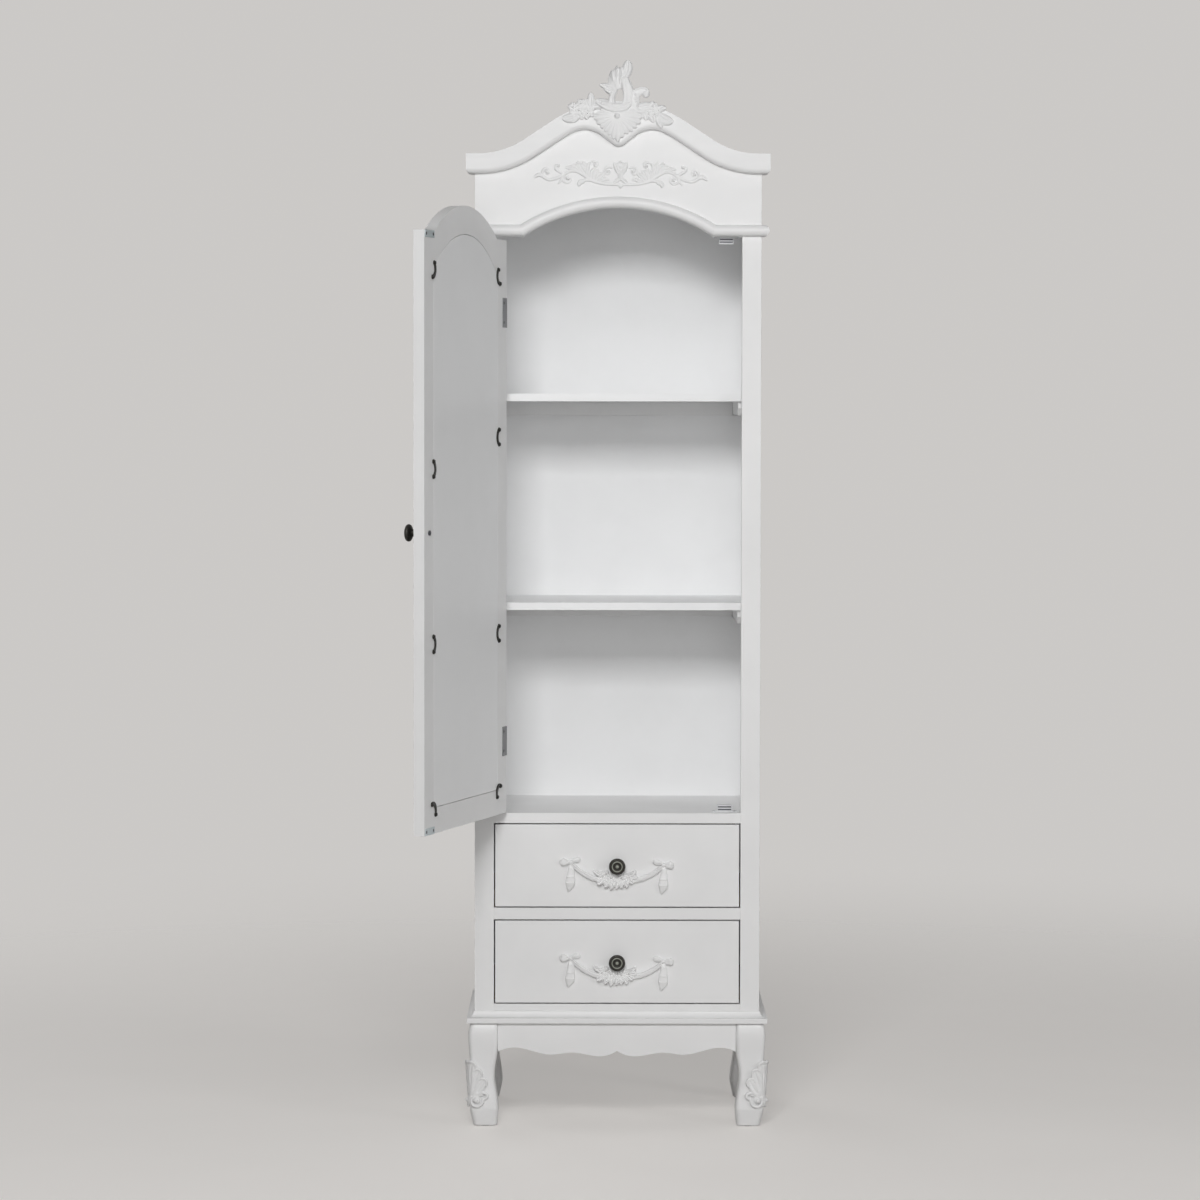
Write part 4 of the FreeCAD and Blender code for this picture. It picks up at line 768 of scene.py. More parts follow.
@dataclass
class Crest:
    """The rocaille crest: a shell over the cornice's drop, sprays beside it and a plume above."""

    plan: Plan
    palette: Palette
    foot_height: float = 1.8515
    shell_eye: tuple[float, float] = (-2.6, 45.5)
    shell_rim: tuple[tuple[float, float], ...] = (
        (150, 27), (171, 38), (184, 42.5), (212, 36.5), (235, 35.5), (254, 39), (270, 46), (286, 39),
        (300, 37), (316, 38), (334, 41.5), (356, 45), (378, 37), (394, 31),
    )
    shell_ribs: int = 17
    fineness: float = 0.7 * MM
    most_faces: int = 70000

    def shell(self, work: Relief) -> None:
        """Carves the heart-shaped scallop with its pearl.

        Args:
            work: The relief that it is added to.
        """
        eye = Vector(self.shell_eye)
        work.fan(eye, self.shell_rim, self.shell_ribs, 9.5)
        work.bead(eye, 5.6, 6.5, 7.5)

    def bowl(self, work: Relief) -> None:
        """Carves the bowl over the shell, with the leaf that falls from its left end.

        Args:
            work: The relief that it is added to.
        """
        work.stem([(-44, 72, 3), (-30, 63.5, 6), (-14, 57, 7.5), (1, 55.5, 8), (13, 59, 7.5), (23, 67, 5)],
                  0.8, 8.5)
        work.stem([(-28, 67, 3), (-14, 62.5, 4), (1, 61, 4), (12, 64, 4), (20, 70, 3)], 0.9, 9.5)
        work.stem([(-33, 71, 6), (-19, 66, 10), (-4, 63.5, 12), (9, 65, 11), (19, 71, 7)], 0.6, 7)
        work.blade([(-24, 64), (-37, 65), (-50, 61)], 15, 6, 1, 0, 0.42, Vein.GROOVE)
        work.blade([(-14, 66), (-29, 71), (-43.5, 74)], 15, 6, 1, 0, 0.42, Vein.GROOVE)
        work.blade([(-12, 61), (-27, 63), (-40, 67)], 11, 6, 1, 0, 0.45, Vein.GROOVE)
        for place in ((-15, 64), (-11, 66.5), (-7.5, 64)):
            work.bead(place, 2.4, 3, 8)

    def plume(self, work: Relief) -> None:
        """Carves the two stems round the pierced eye, the plume and its top leaves.

        Args:
            work: The relief that it is added to.
        """
        work.stem([(12, 60, 16), (17, 74, 20), (18, 90, 21.5), (14, 106, 19), (9, 120, 13)], 0.5, 4)
        for shift in (-7, 0, 7):
            work.stem([(14 + shift, 64, 3.5), (17.5 + shift, 78, 4.5), (17.5 + 0.95 * shift, 92, 4.5),
                       (13.5 + 0.8 * shift, 107, 4), (11 + 0.5 * shift, 118, 3)], 0.9, 7.5)
        work.blade([(11, 118), (16, 133), (18, 148.5)], 21, 7, 2, 0, 0.4, Vein.GROOVE)
        work.blade([(-3, 94), (-6.5, 113), (-4, 133)], 27, 7, 1, 0, 0.45)
        work.bead((-9, 106.5), 10.5, 7)
        for spine in ([(-9, 108), (-12, 120), (-11.6, 131)], [(-4, 108), (-4.5, 124), (-3, 139)],
                      [(2, 106), (3.5, 122), (3.4, 137)]):
            work.blade(spine, 10, 8.5, 2, 0, 0.5)
        work.blade([(-4, 92), (-18, 98), (-35.5, 104)], 15, 6, 2, 0, 0.55, Vein.GROOVE)
        work.blade([(-5, 88), (-15, 90), (-27, 95.5)], 11, 7, 1, 0, 0.55, Vein.GROOVE)
        work.stem([(-4, 97, 11), (-9.5, 88, 12), (-12.5, 78, 12.5), (-12, 68, 16), (-8, 60, 18)], 0.5, 4)
        for shift in (-2.5, 2.5):
            work.stem([(-7 + shift, 94, 3), (-12.5 + shift, 81, 3.6), (-13 + 1.6 * shift, 68, 3.4)], 0.9, 7)

    def hook(self, work: Relief) -> None:
        """Carves the broad C-scroll on the right, with its row of pearls.

        Args:
            work: The relief that it is added to.
        """
        work.stem([(31, 56, 14), (30, 68, 18), (30.5, 79, 17), (35, 88, 15.5), (43, 91.5, 13.5), (50, 90, 13),
                   (51.5, 86.5, 13)], 0.5, 4)
        work.stem([(23.5, 64, 4), (23.5, 80, 4.4), (29, 92, 4.4), (40, 97, 4.2), (51, 96, 4.2),
                   (56.5, 89, 4)], 0.9, 6.5)
        work.bead((51, 86.5), 7.4, 5.5, 4)
        for place in ((32, 84), (31.5, 77.5), (32.5, 71), (35.5, 65)):
            work.bead(place, 2.7, 3, 7)
        work.stem([(22, 66, 5), (28, 59, 7), (40, 53.5, 8), (52, 54, 6)], 0.8, 5)
        work.blade([(36, 59), (49, 63), (63, 66)], 19, 6, 1, 0, 0.45, Vein.GROOVE)
        work.blade([(34, 55), (45, 51.5), (57, 51)], 12, 6, 1, 0, 0.45, Vein.GROOVE)

    def sprays(self, work: Relief) -> None:
        """Carves the leaves and blooms that lie along the cornice.

        Args:
            work: The relief that they are added to.
        """
        leaves = (
            ([(-50, 55), (-51.5, 73), (-51.3, 89)], 15), ([(-52, 55), (-57.5, 66), (-61, 77)], 12),
            ([(-46, 55), (-66, 56), (-92, 55)], 27), ([(-74, 50), (-89, 42), (-104.5, 41)], 19),
            ([(-74, 47), (-81, 40.5), (-86.5, 33.5)], 13), ([(-64, 50), (-68, 45), (-69, 39)], 11),
            ([(-56, 50), (-59, 45), (-58.5, 39.5)], 11), ([(-50, 53), (-49.5, 48), (-48, 44)], 10),
            ([(46, 55), (60, 56), (78, 54)], 24), ([(68, 58), (78, 60), (88.5, 60)], 13),
            ([(72, 47), (86, 38.5), (101.5, 35.5)], 21), ([(71, 46), (76, 35), (80, 24)], 14),
            ([(60, 48), (63, 41), (64.5, 34)], 12), ([(53, 50), (51.5, 44), (50, 38)], 12),
            ([(48, 53), (46, 48), (44.5, 43)], 10),
        )
        for spine, width in leaves:
            work.blade(spine, width, 5.5, 2, 0, 0.42, Vein.GROOVE)
        for centre, radius, turn in (((-85, 61.5), 9.8, 18), ((-70, 68.5), 9.2, 50), ((-74, 56), 7.5, 20),
                                     ((-68, 50), 8, 0), ((-57.5, 51), 8, 30), ((63.5, 63.5), 9.6, 30),
                                     ((56.5, 50), 8.2, 0), ((67.5, 49), 8.4, 60), ((75, 56), 6.5, 10)):
            work.bloom(centre, radius, 5, 8, turn)

    def build(self) -> bpy.types.Object:
        """Carves the crest and sets it on the cornice.

        Returns:
            The crest.
        """
        work = Relief()
        for carve in (self.shell, self.bowl, self.plume, self.hook, self.sprays):
            carve(work)
        place = self.plan.on_face(Vector((self.plan.middle, self.plan.cornice_face, self.foot_height)))
        crest = work.carved("crest", place, self.fineness, self.most_faces)
        return self.palette.finish(crest, Slot.PAINT, "cabinet", "crest_carving")


@dataclass
class FriezeScrolls:
    """The low acanthus scrolls on the frieze, the same on both sides of a small cartouche."""

    plan: Plan
    palette: Palette
    foot_height: float = 1.771
    set_over: float = 0.004
    tilt: float = math.radians(-0.8)
    band: float = 6.2
    tall: float = 0.62
    fineness: float = 0.6 * MM
    most_faces: int = 60000

    def strokes(self, work: Relief) -> None:
        """Carves the right half's stems.

        Args:
            work: The relief that they are added to.
        """
        stems = (
            ((6, 0, 0.8), (20, 0.6, 1), (35, 1.6, 1), (53, 6.5, 1), (69, 17, 1.1), (83, 24, 1.1), (95, 23, 1),
             (105, 17, 0.9), (108, 9, 0.7)),
            ((102, 18, 0.8), (111, 14, 1), (121, 9.4, 1), (133, 7, 1), (142, 11, 1.1), (150, 15.6, 1),
             (161, 10.6, 0.6)),
            ((106, 15, 0.7), (111, 6, 0.8), (117, -1, 0.5)),
            ((104, 17, 0.7), (113, 21.5, 0.9), (120.5, 27, 1), (121.5, 32.5, 0.9), (116, 34.5, 0.7)),
            ((52, 6, 0.8), (62, 7.6, 1), (70, 5.6, 1), (76, 0, 0.9)),
            ((55, 8, 0.8), (60, 22, 1), (60.5, 34, 1), (55.5, 41.5, 0.9)),
            ((20, 9, 0.6), (30, 8, 0.8), (42, 7.6, 0.8), (55, 8, 0.7)),
        )
        for stem in stems:
            work.stem([(u, v, share * self.band) for u, v, share in stem], self.tall, 1.2)

    def half(self) -> Relief:
        """Carves the right half.

        Returns:
            The half, without the cartouche.
        """
        work = Relief()
        self.strokes(work)
        for centre, radius, start, turn in (((98.8, 9.6), 10.6, 20, -420), ((137.6, 21.4), 9, -30, 400),
                                            ((48, 35.5), 7.8, 40, 340), ((23.5, 24), 10, 150, -420)):
            work.volute(centre, radius, start, turn, 0.86 * self.band, self.tall, 1.2)
        for spine, width in (([(64, 17), (73, 30), (80, 40)], 12), ([(62, 14), (65, 30), (70, 43)], 11),
                             ([(69, 20), (80, 30.5), (91, 36)], 10), ([(72, 21), (86, 29), (104, 30)], 10),
                             ([(68, 5), (76, 2.5), (78.5, -5)], 10), ([(145, 13), (153, 16), (162, 10)], 8),
                             ([(54, 9), (53, 21), (48, 30)], 11), ([(50, 8), (46, 19), (40, 27)], 11),
                             ([(46, 7), (39, 15), (31, 21)], 11), ([(40, 6), (31, 9), (23, 13)], 9),
                             ([(4, 22), (9, 33), (12, 42)], 9), ([(2, 10), (8, 6), (14, 2)], 8)):
            work.blade(spine, width, 3.4, 0.5, 0, 0.42, Vein.GROOVE)
        for place in ((116, 33.5), (79.5, 39), (77, -1.5)):
            work.bead(place, 3.6, 3.8)
        return work

    def cartouche(self, work: Relief) -> None:
        """Carves the jewel in the middle with its pendant.

        Args:
            work: The relief that they are added to.
        """
        ring = [(6.2 * math.cos(turn), 33 + 8.4 * math.sin(turn), 0.6 * self.band)
                for turn in (2 * math.pi * corner / 16 for corner in range(17))]
        work.stem(ring, 0.8, 1.2)
        for place, radius, height in (((0, 30), 13, 2.2), ((0, 32), 4, 3.8), ((0, 42), 3, 3.8),
                                      ((0, -3.6), 4, 3.8)):
            work.bead(place, radius, height)
        work.stem([(0, 25, 9), (0, 18, 11), (0, 11, 10), (0, 7, 6)], 0.45, 0.8)
        work.stem([(0, 25, 3), (0, 17, 4), (0, 10, 2.6)], 0.9, 2.2)
        work.stem([(-13, 0.4, 4.4), (0, -0.6, 6.4), (13, 0.4, 4.4)], self.tall, 1.2)

    def build(self) -> bpy.types.Object:
        """Carves the scrolls and sets them on the frieze.

        Returns:
            The carving.
        """
        work = self.half()
        work.add(work.mirrored())
        self.cartouche(work)
        spot = Vector((self.plan.middle + self.set_over, self.plan.face, self.foot_height))
        place = self.plan.on_face(spot, self.tilt)
        scrolls = work.carved("frieze_scrolls", place, self.fineness, self.most_faces)
        return self.palette.finish(scrolls, Slot.PAINT, "cabinet", "frieze_carving")


@dataclass
class Swag:
    """The garland on a drawer front: two bows with tassels, a ribbon and flowers under the knob."""

    plan: Plan
    palette: Palette
    level: str
    tilt: float
    knots: tuple[tuple[float, float], ...] = ((-88.5, 4.0), (86.5, 4.0))
    steep: float = 0.55
    fineness: float = 0.6 * MM
    most_faces: int = 50000

    def bow(self, work: Relief, knot: Vector) -> None:
        """Carves a bow with its tassel; the bows mirror each other.

        Args:
            work: The relief that they are added to.
            knot: The knot's place.
        """
        u, v = knot
        out = math.copysign(1.0, u)
        for strip in (((0, 0, 5), (8, -0.5, 11), (15, 0.5, 15.5), (20, 1.5, 13)),
                      ((0, 0.5, 4.5), (-8, 4, 9), (-15, 5, 10.5), (-20, 5, 7.5))):
            work.stem([(u + out * x, v + y, width) for x, y, width in strip], 1.0, 1.8, self.steep)
        for fold in (((2, 1.5, 2), (10, 3.5, 2.2), (20, 6, 2)), ((3, -1, 2), (11, -1.5, 2.2), (20, -1.5, 2)),
                     ((-3, 2.5, 2), (-11, 5.5, 2.2), (-19, 6.5, 2))):
            work.stem([(u + out * x, v + y, width) for x, y, width in fold], 1.0, 6.2)
        work.bead((u, v), 4.8, 6.6, 1.0)
        tassel = ((1, -3, 6), (1.8, -12, 11), (1.6, -24, 15), (1.4, -34, 18.5), (1, -42, 17), (-1, -51, 8.5),
                  (-1.8, -56, 4))
        work.stem([(u + x, v + y, width) for x, y, width in tassel], 0.75, 1.6, self.steep)
        for drop, reach in ((-27, 7.6), (-38, 8.8)):
            work.stem([(u + 1.2 - reach, v + drop, 2.8), (u + 1.2, v + drop - 0.8, 3.2),
                       (u + 1.2 + reach, v + drop, 2.8)], 0.9, 7.4)
        for strand in (-4.2, 0, 4.2):
            work.stem([(u + 1.6 + strand * 0.5, v - 9, 2), (u + 1.4 + strand, v - 25, 2.8)], 0.9, 5.4)
            work.stem([(u + 1.2 + strand, v - 40, 2.8), (u - 1 + strand * 0.3, v - 52, 1.8)], 0.9, 5.2)

    def ribbon(self, work: Relief) -> None:
        """Carves the ribbon from bow to bow.

        Args:
            work: The relief that it is added to.
        """
        hang = [(-86, 1, 7), (-72, -10.5, 9), (-57, -19.5, 9.8), (-40, -26, 9.8), (-20, -29.5, 9),
                (0, -30.5, 9), (22, -29, 9), (42, -24.5, 9.8), (59, -18, 9.8), (73, -9.5, 9), (85, 1, 7)]
        work.stem(hang, 1.3, 1.6, 0.7)
        work.stem([(u, v + 2, 2.4) for u, v, _ in hang], 1.0, 7.2)

    def flowers(self, work: Relief) -> None:
        """Carves the bunch in the middle.

        Args:
            work: The relief that it is added to.
        """
        leaves = (((-26, -26), (-37, -35.5), 12), ((-18, -28), (-22, -41), 12),
                  ((-8, -29), (-11, -44.5), 10.5), ((1, -29), (-0.5, -43), 9.5),
                  ((8, -29), (9, -42), 9.5), ((15, -27), (20, -40), 11),
                  ((21, -24), (31, -32), 11), ((24, -20), (39, -20), 10), ((-30, -19), (-45, -9), 9),
                  ((24, -17), (36, -8), 8), ((-17, -17), (-22, -8), 8))
        for foot, tip, width in leaves:
            middle = (Vector(foot) + Vector(tip)) / 2 + Vector((0.6, -0.6))
            work.blade([foot, middle, tip], width, 9, 3.5, 0, 0.45, Vein.GROOVE, 1.5)
        for centre, radius, petals, turn in (((-27, -20), 10, 5, 10), ((-10, -21), 11, 6, 0),
                                             ((10, -23), 11, 6, 20), ((24, -20.5), 8.5, 5, 0),
                                             ((0, -31), 8.5, 5, 30), ((-19, -29.5), 8.5, 5, 15),
                                             ((17, -31), 7.5, 5, 40)):
            work.bloom(centre, radius, petals, 11, turn)

    def build(self) -> bpy.types.Object:
        """Carves the swag and sets it on its drawer front.

        Returns:
            The swag.
        """
        work = Relief()
        for knot in self.knots:
            self.bow(work, Vector(knot))
        self.ribbon(work)
        self.flowers(work)
        low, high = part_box(f"{self.level}_drawer_front")
        origin = Vector(((low.x + high.x) / 2, low.y, (low.z + high.z) / 2))
        place = self.plan.on_face(origin, self.tilt)
        swag = work.carved(f"{self.level}_swag", place, self.fineness, self.most_faces)
        return self.palette.finish(swag, Slot.PAINT, f"drawer_{self.level}", f"{self.level}_drawer_swag")


@dataclass
class KneeLeaves:
    """The carved leaves that wrap the outer corners of the front legs."""

    plan: Plan
    palette: Palette
    bend: float = 14.0
    stand_off: float = 60.0
    fineness: float = 0.7 * MM
    most_faces: int = 30000

    def __post_init__(self) -> None:
        """Reads the left leg's skin and its outer corner."""
        leg = frame["nodes"]["leg_front_left"].data
        self.skin = BVHTree.FromPolygons([vertex.co for vertex in leg.vertices],
                                         [polygon.vertices for polygon in leg.polygons])
        self.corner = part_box("leg_front_left")[0]

    def half(self) -> Relief:
        """Carves the half of a leaf that lies on the leg's front face.

        Returns:
            The half; u runs from the leg's corner along its face, v up from the floor.
        """
        work = Relief()
        for spine, width in (([(12, 60), (21, 73), (31, 91)], 20), ([(8, 60), (13, 83), (21, 109)], 21),
                             ([(3, 62), (4, 94), (8.5, 124)], 21)):
            work.blade(spine, width, 5, 4, 0, 0.35, Vein.GROOVE, 1.0)
        for rim in (((20, 89, 2.4), (25, 92.5, 4.4), (31.5, 91.5, 5.4), (35, 85.5, 5), (33, 77, 2.6)),
                    ((10, 106, 2.4), (15, 110, 4.4), (21.5, 109, 5.6), (25.5, 102.5, 5.2), (23.5, 93, 2.6)),
                    ((-1, 121, 5), (5, 124.5, 6.4), (11.5, 122, 6), (14.5, 115, 4.6), (13.5, 107, 2.4))):
            work.stem(rim, 1.0, 6.4)
        work.stem([(12, 62.5, 5), (20, 65, 6.4), (29, 65.5, 6.6), (35.5, 61, 6.6), (34, 55.5, 6),
                   (28.5, 53, 4)], 0.95, 3)
        work.stem([(13.5, 52, 3), (22.5, 60, 4), (28, 60.5, 4.6)], 0.9, 2.6)
        work.volute((14.5, 50.5), 14.5, 25, -560, 6.2, 1.0, 2.8)
        work.bead((14.5, 50.5), 5, 7.5, 2)
        work.stem([(4, 88, 4), (7, 76, 5), (11, 67, 6), (17, 64, 6)], 0.9, 2.6)
        work.stem([(2, 108, 3), (2.4, 82, 4.4), (3, 58, 6), (4, 43, 7)], 0.9, 2.4)
        return work

    def laid(self, point: Vector) -> Vector:
        """Lays a point of the relief on the left leg, round its outer corner.

        Args:
            point: The point in millimetres.

        Returns:
            Its place in metres.
        """
        lean = math.radians(45) * max(0.0, 1 - abs(point.x) / self.bend)
        inward = Vector((math.sin(lean), math.cos(lean), 0))
        across = self.corner.x + abs(point.x) * MM
        start = Vector((across, self.corner.y, point.y * MM)) - inward * self.stand_off * MM
        hit = self.skin.ray_cast(start, inward)[0] or start + inward * self.stand_off * MM
        spot = hit - inward * point.z * MM
        if point.x < 0:
            off_x, off_y = spot.x - self.corner.x, spot.y - self.corner.y
            spot = Vector((self.corner.x + off_y, self.corner.y + off_x, spot.z))
        return spot

    def build(self) -> bpy.types.Object:
        """Carves both knees' leaves.

        Returns:
            The carving.
        """
        work = self.half()
        work.add(work.mirrored())
        work.blade([(0, 40), (0, 84), (0, 121)], 20, 4, 5, 0, 0.42)
        leaves = work.carved("knee_leaves", self.laid, self.fineness, self.most_faces)
        twin = bmesh.new()
        twin.from_mesh(leaves.data)
        copy = bmesh.ops.duplicate(twin, geom=twin.verts[:] + twin.edges[:] + twin.faces[:])["geom"]
        for vertex in [part for part in copy if isinstance(part, bmesh.types.BMVert)]:
            vertex.co.x = 2 * self.plan.middle - vertex.co.x
        bmesh.ops.reverse_faces(twin, faces=[part for part in copy if isinstance(part, bmesh.types.BMFace)])
        twin.to_mesh(leaves.data)
        twin.free()
        leaves.data.shade_smooth()
        return self.palette.finish(leaves, Slot.PAINT, "cabinet", "knee_carvings")


@dataclass
class FrontLeg:
    """A front leg, whose foot below the crease is a squarer block that comes close to the floor."""

    palette: Palette
    side: str
    crease: float = 33.0 * MM
    sole: float = 1.5 * MM
    spread: float = 1.2
    fineness: float = 1.2 * MM
    passes: int = 8

    def build(self) -> bpy.types.Object:
        """Shapes the leg from the CAD leg.

        Returns:
            The leg.
        """
        node = f"leg_front_{self.side}"
        leg = bpy.data.objects.new(f"{node}_shaped", frame["nodes"][node].data.copy())
        leg.data.materials.clear()
        bpy.context.scene.collection.objects.link(leg)
        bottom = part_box(node)[0].z
        feet = [vertex.co for vertex in leg.data.vertices if vertex.co.z < bottom + 0.1 * MM]
        middle = (Vector(map(min, *feet)) + Vector(map(max, *feet))) / 2
        for vertex in leg.data.vertices:
            share = max(0.0, (self.crease - vertex.co.z) / (self.crease - bottom))
            grown = 1 + (self.spread - 1) * share
            vertex.co.xy = middle.xy + (vertex.co.xy - middle.xy) * grown
            vertex.co.z -= share * (bottom - self.sole)
        leg.modifiers.new("weld", "WELD").merge_threshold = WELD_WITHIN
        melt(leg, self.fineness, self.passes)
        leg.data.shade_smooth()
        return self.palette.finish(leg, Slot.PAINT, "cabinet", node)


# Fittings


@dataclass
class Knob:
    """A turned bronze knob with a ring and a button on its face, given as radius, height and share of painted
    highlight.
    """

    palette: Palette
    node: str
    body: str
    swing: Matrix
    # The third number is the share of painted highlight; the ring and the button get it.
    profile: tuple[tuple[float, float, float], ...] = (
        (9.2, 0, 0), (10, 0.6, 0), (10, 1.6, 0), (8.6, 2.4, 0), (8.2, 3.2, 0), (6.6, 3.8, 0), (6, 5.5, 0),
        (5.8, 8, 0), (6.6, 10.4, 0), (9.5, 12.4, 0), (12.6, 13.8, 0), (14.6, 15.2, 0), (15.4, 17, 0),
        (15.5, 18.4, 0.05), (15.1, 20, 0.1), (14.1, 21.4, 0.06), (12.8, 22.2, 0.02), (11.6, 22.3, 0),
        (10.9, 21.9, 0), (10.4, 22.2, 0.3), (9.9, 22.9, 0.9), (9.3, 23.2, 1), (8.6, 22.9, 0.9),
        (8.1, 22.2, 0.3), (7.5, 21.4, 0), (5.6, 20.8, 0), (4, 21.2, 0), (3.4, 21.8, 0.3), (2.8, 22.8, 0.9),
        (1.8, 23.5, 1), (0.2, 23.8, 1),
    )
    around: int = 64

    def build(self) -> bpy.types.Object:
        """Turns the knob and sets it where the CAD knob is.

        Returns:
            The knob.
        """
        closed = self.swing.inverted()
        spots = [closed @ vertex.co for vertex in frame["nodes"][self.node].data.vertices]
        middle = (Vector(map(min, *spots)) + Vector(map(max, *spots))) / 2
        back = max(spot.y for spot in spots)
        turns = [2 * math.pi * corner / self.around for corner in range(self.around)]
        lathe = Relief()
        lathe.loft([[self.swing @ Vector((middle.x + radius * MM * math.cos(turn), back - out * MM,
                                          middle.z + radius * MM * math.sin(turn))) for turn in turns]
                    for radius, out, _ in self.profile])
        knob = new_object(f"{self.node}_turned", lathe.points, lathe.faces)
        # Stores the painted highlight share for each ring of the profile.
        painted_highlight = knob.data.attributes.new(PAINTED_HIGHLIGHT_ATTRIBUTE, "FLOAT", "POINT")
        painted_highlight.data.foreach_set("value", [share for _, _, share in self.profile for _ in turns])
        settle(knob, math.radians(50))
        return self.palette.finish(knob, Slot.BRONZE, self.body, self.node)


# Boards and plain fittings that keep their CAD shape


@dataclass
class Boards:
    """The cabinet's CAD boards and fittings: their edges are eased and they get their finish."""

    palette: Palette
    edge: float = 1.0 * MM
    joint_edge: float = 0.5 * MM
    soft_edge: float = 1.8 * MM
    fine_edge: float = 0.25 * MM

    def edge_of(self, node: str) -> float:
        """How far the edges of a painted board are rounded.

        Args:
            node: The board's node.

        Returns:
            The width of the rounding in metres.
        """
        if node.startswith(("leg", "apron")):
            return self.soft_edge
        if node.startswith(("front_stile", "drawer_rail", "base_panel", "compartment_floor", "plinth")):
            return self.joint_edge
        if node.endswith("drawer_front"):
            return self.joint_edge
        return self.edge

    def build(self) -> None:
        """Dresses every node that stays as it is."""
        paint = self.palette.paint
        upright = ("side_panel_left", "side_panel_right", "front_stile_left", "front_stile_right",
                   "door_frame", "leg_rear_left", "leg_rear_right")
        level = ("frieze_board", "cornice_front", "drip_moulding", "compartment_floor", "drawer_rail",
                 "base_panel", "plinth_board", "apron_front", "apron_back", "upper_drawer_front",
                 "lower_drawer_front", "top_panel", "frieze_corner_blocks")
        deep = ("cornice_returns", "apron_sides", "shelf_cleats")
        for grain, nodes in ((Grain.UPRIGHT, upright), (Grain.LEVEL, level), (Grain.DEEP, deep)):
            for node in nodes:
                self.palette.dress(node, paint[grain])
                ease(frame["nodes"][node], self.edge_of(node))
        # Inside paint: a whiter, cooler white, partly painted light that brightens the interior and the door
        # back.
        for node, grain in (("back_panel", Grain.UPRIGHT), ("mirror_backing", Grain.UPRIGHT),
                            ("shelf_upper", Grain.LEVEL), ("shelf_lower", Grain.LEVEL)):
            self.palette.dress(node, self.palette.inside[grain])
            ease(frame["nodes"][node], self.edge)
        wood = self.palette.wood
        for drawer in ("upper", "lower"):
            self.palette.dress(f"{drawer}_drawer_sides", wood[Grain.DEEP])
            self.palette.dress(f"{drawer}_drawer_back", wood[Grain.LEVEL])
            self.palette.dress(f"{drawer}_drawer_bottom", wood[Grain.LEVEL])
            self.palette.dress(f"{drawer}_drawer_knob_screw", self.palette.steel)
        self.palette.dress("drawer_bearers", wood[Grain.DEEP])
        for node in ("hinge_pins", "frame_screws", "door_screws", "door_knob_screw", "catch_pole_plates"):
            self.palette.dress(node, self.palette.steel)
        for node in ("hinge_frame_leaves", "hinge_door_leaves"):
            self.palette.dress(node, self.palette.plate)
        self.palette.dress("strike_plates", self.palette.strike)
        for node in ("hinge_frame_leaves", "hinge_door_leaves", "strike_plates", "catch_pole_plates"):
            ease(frame["nodes"][node], self.fine_edge)
        for node in ("backing_clips", "clip_screws"):
            self.palette.dress(node, self.palette.bronze)
        ease(frame["nodes"]["backing_clips"], self.fine_edge)
        self.palette.dress("mirror_glass", self.palette.mirror)
        self.palette.dress("catch_housings", self.palette.pale)
        ease(frame["nodes"]["catch_housings"], self.fine_edge)
        self.palette.dress("foot_glides", self.palette.dark)


# Studio


@dataclass
class Lamp:
    """A soft rectangular lamp."""

    name: str
    place: tuple[float, float, float]
    aim: tuple[float, float, float]
    size: tuple[float, float]
    power: float

    def build(self) -> None:
        """Hangs the lamp and points it at its aim."""
        light = bpy.data.lights.new(self.name, "AREA")
        light.shape = "RECTANGLE"
        light.size, light.size_y = self.size
        light.energy = self.power
        lamp = bpy.data.objects.new(self.name, light)
        lamp.location = self.place
        lamp.rotation_euler = (Vector(self.aim) - Vector(self.place)).to_track_quat("-Z", "Y").to_euler()
        bpy.context.scene.collection.objects.link(lamp)


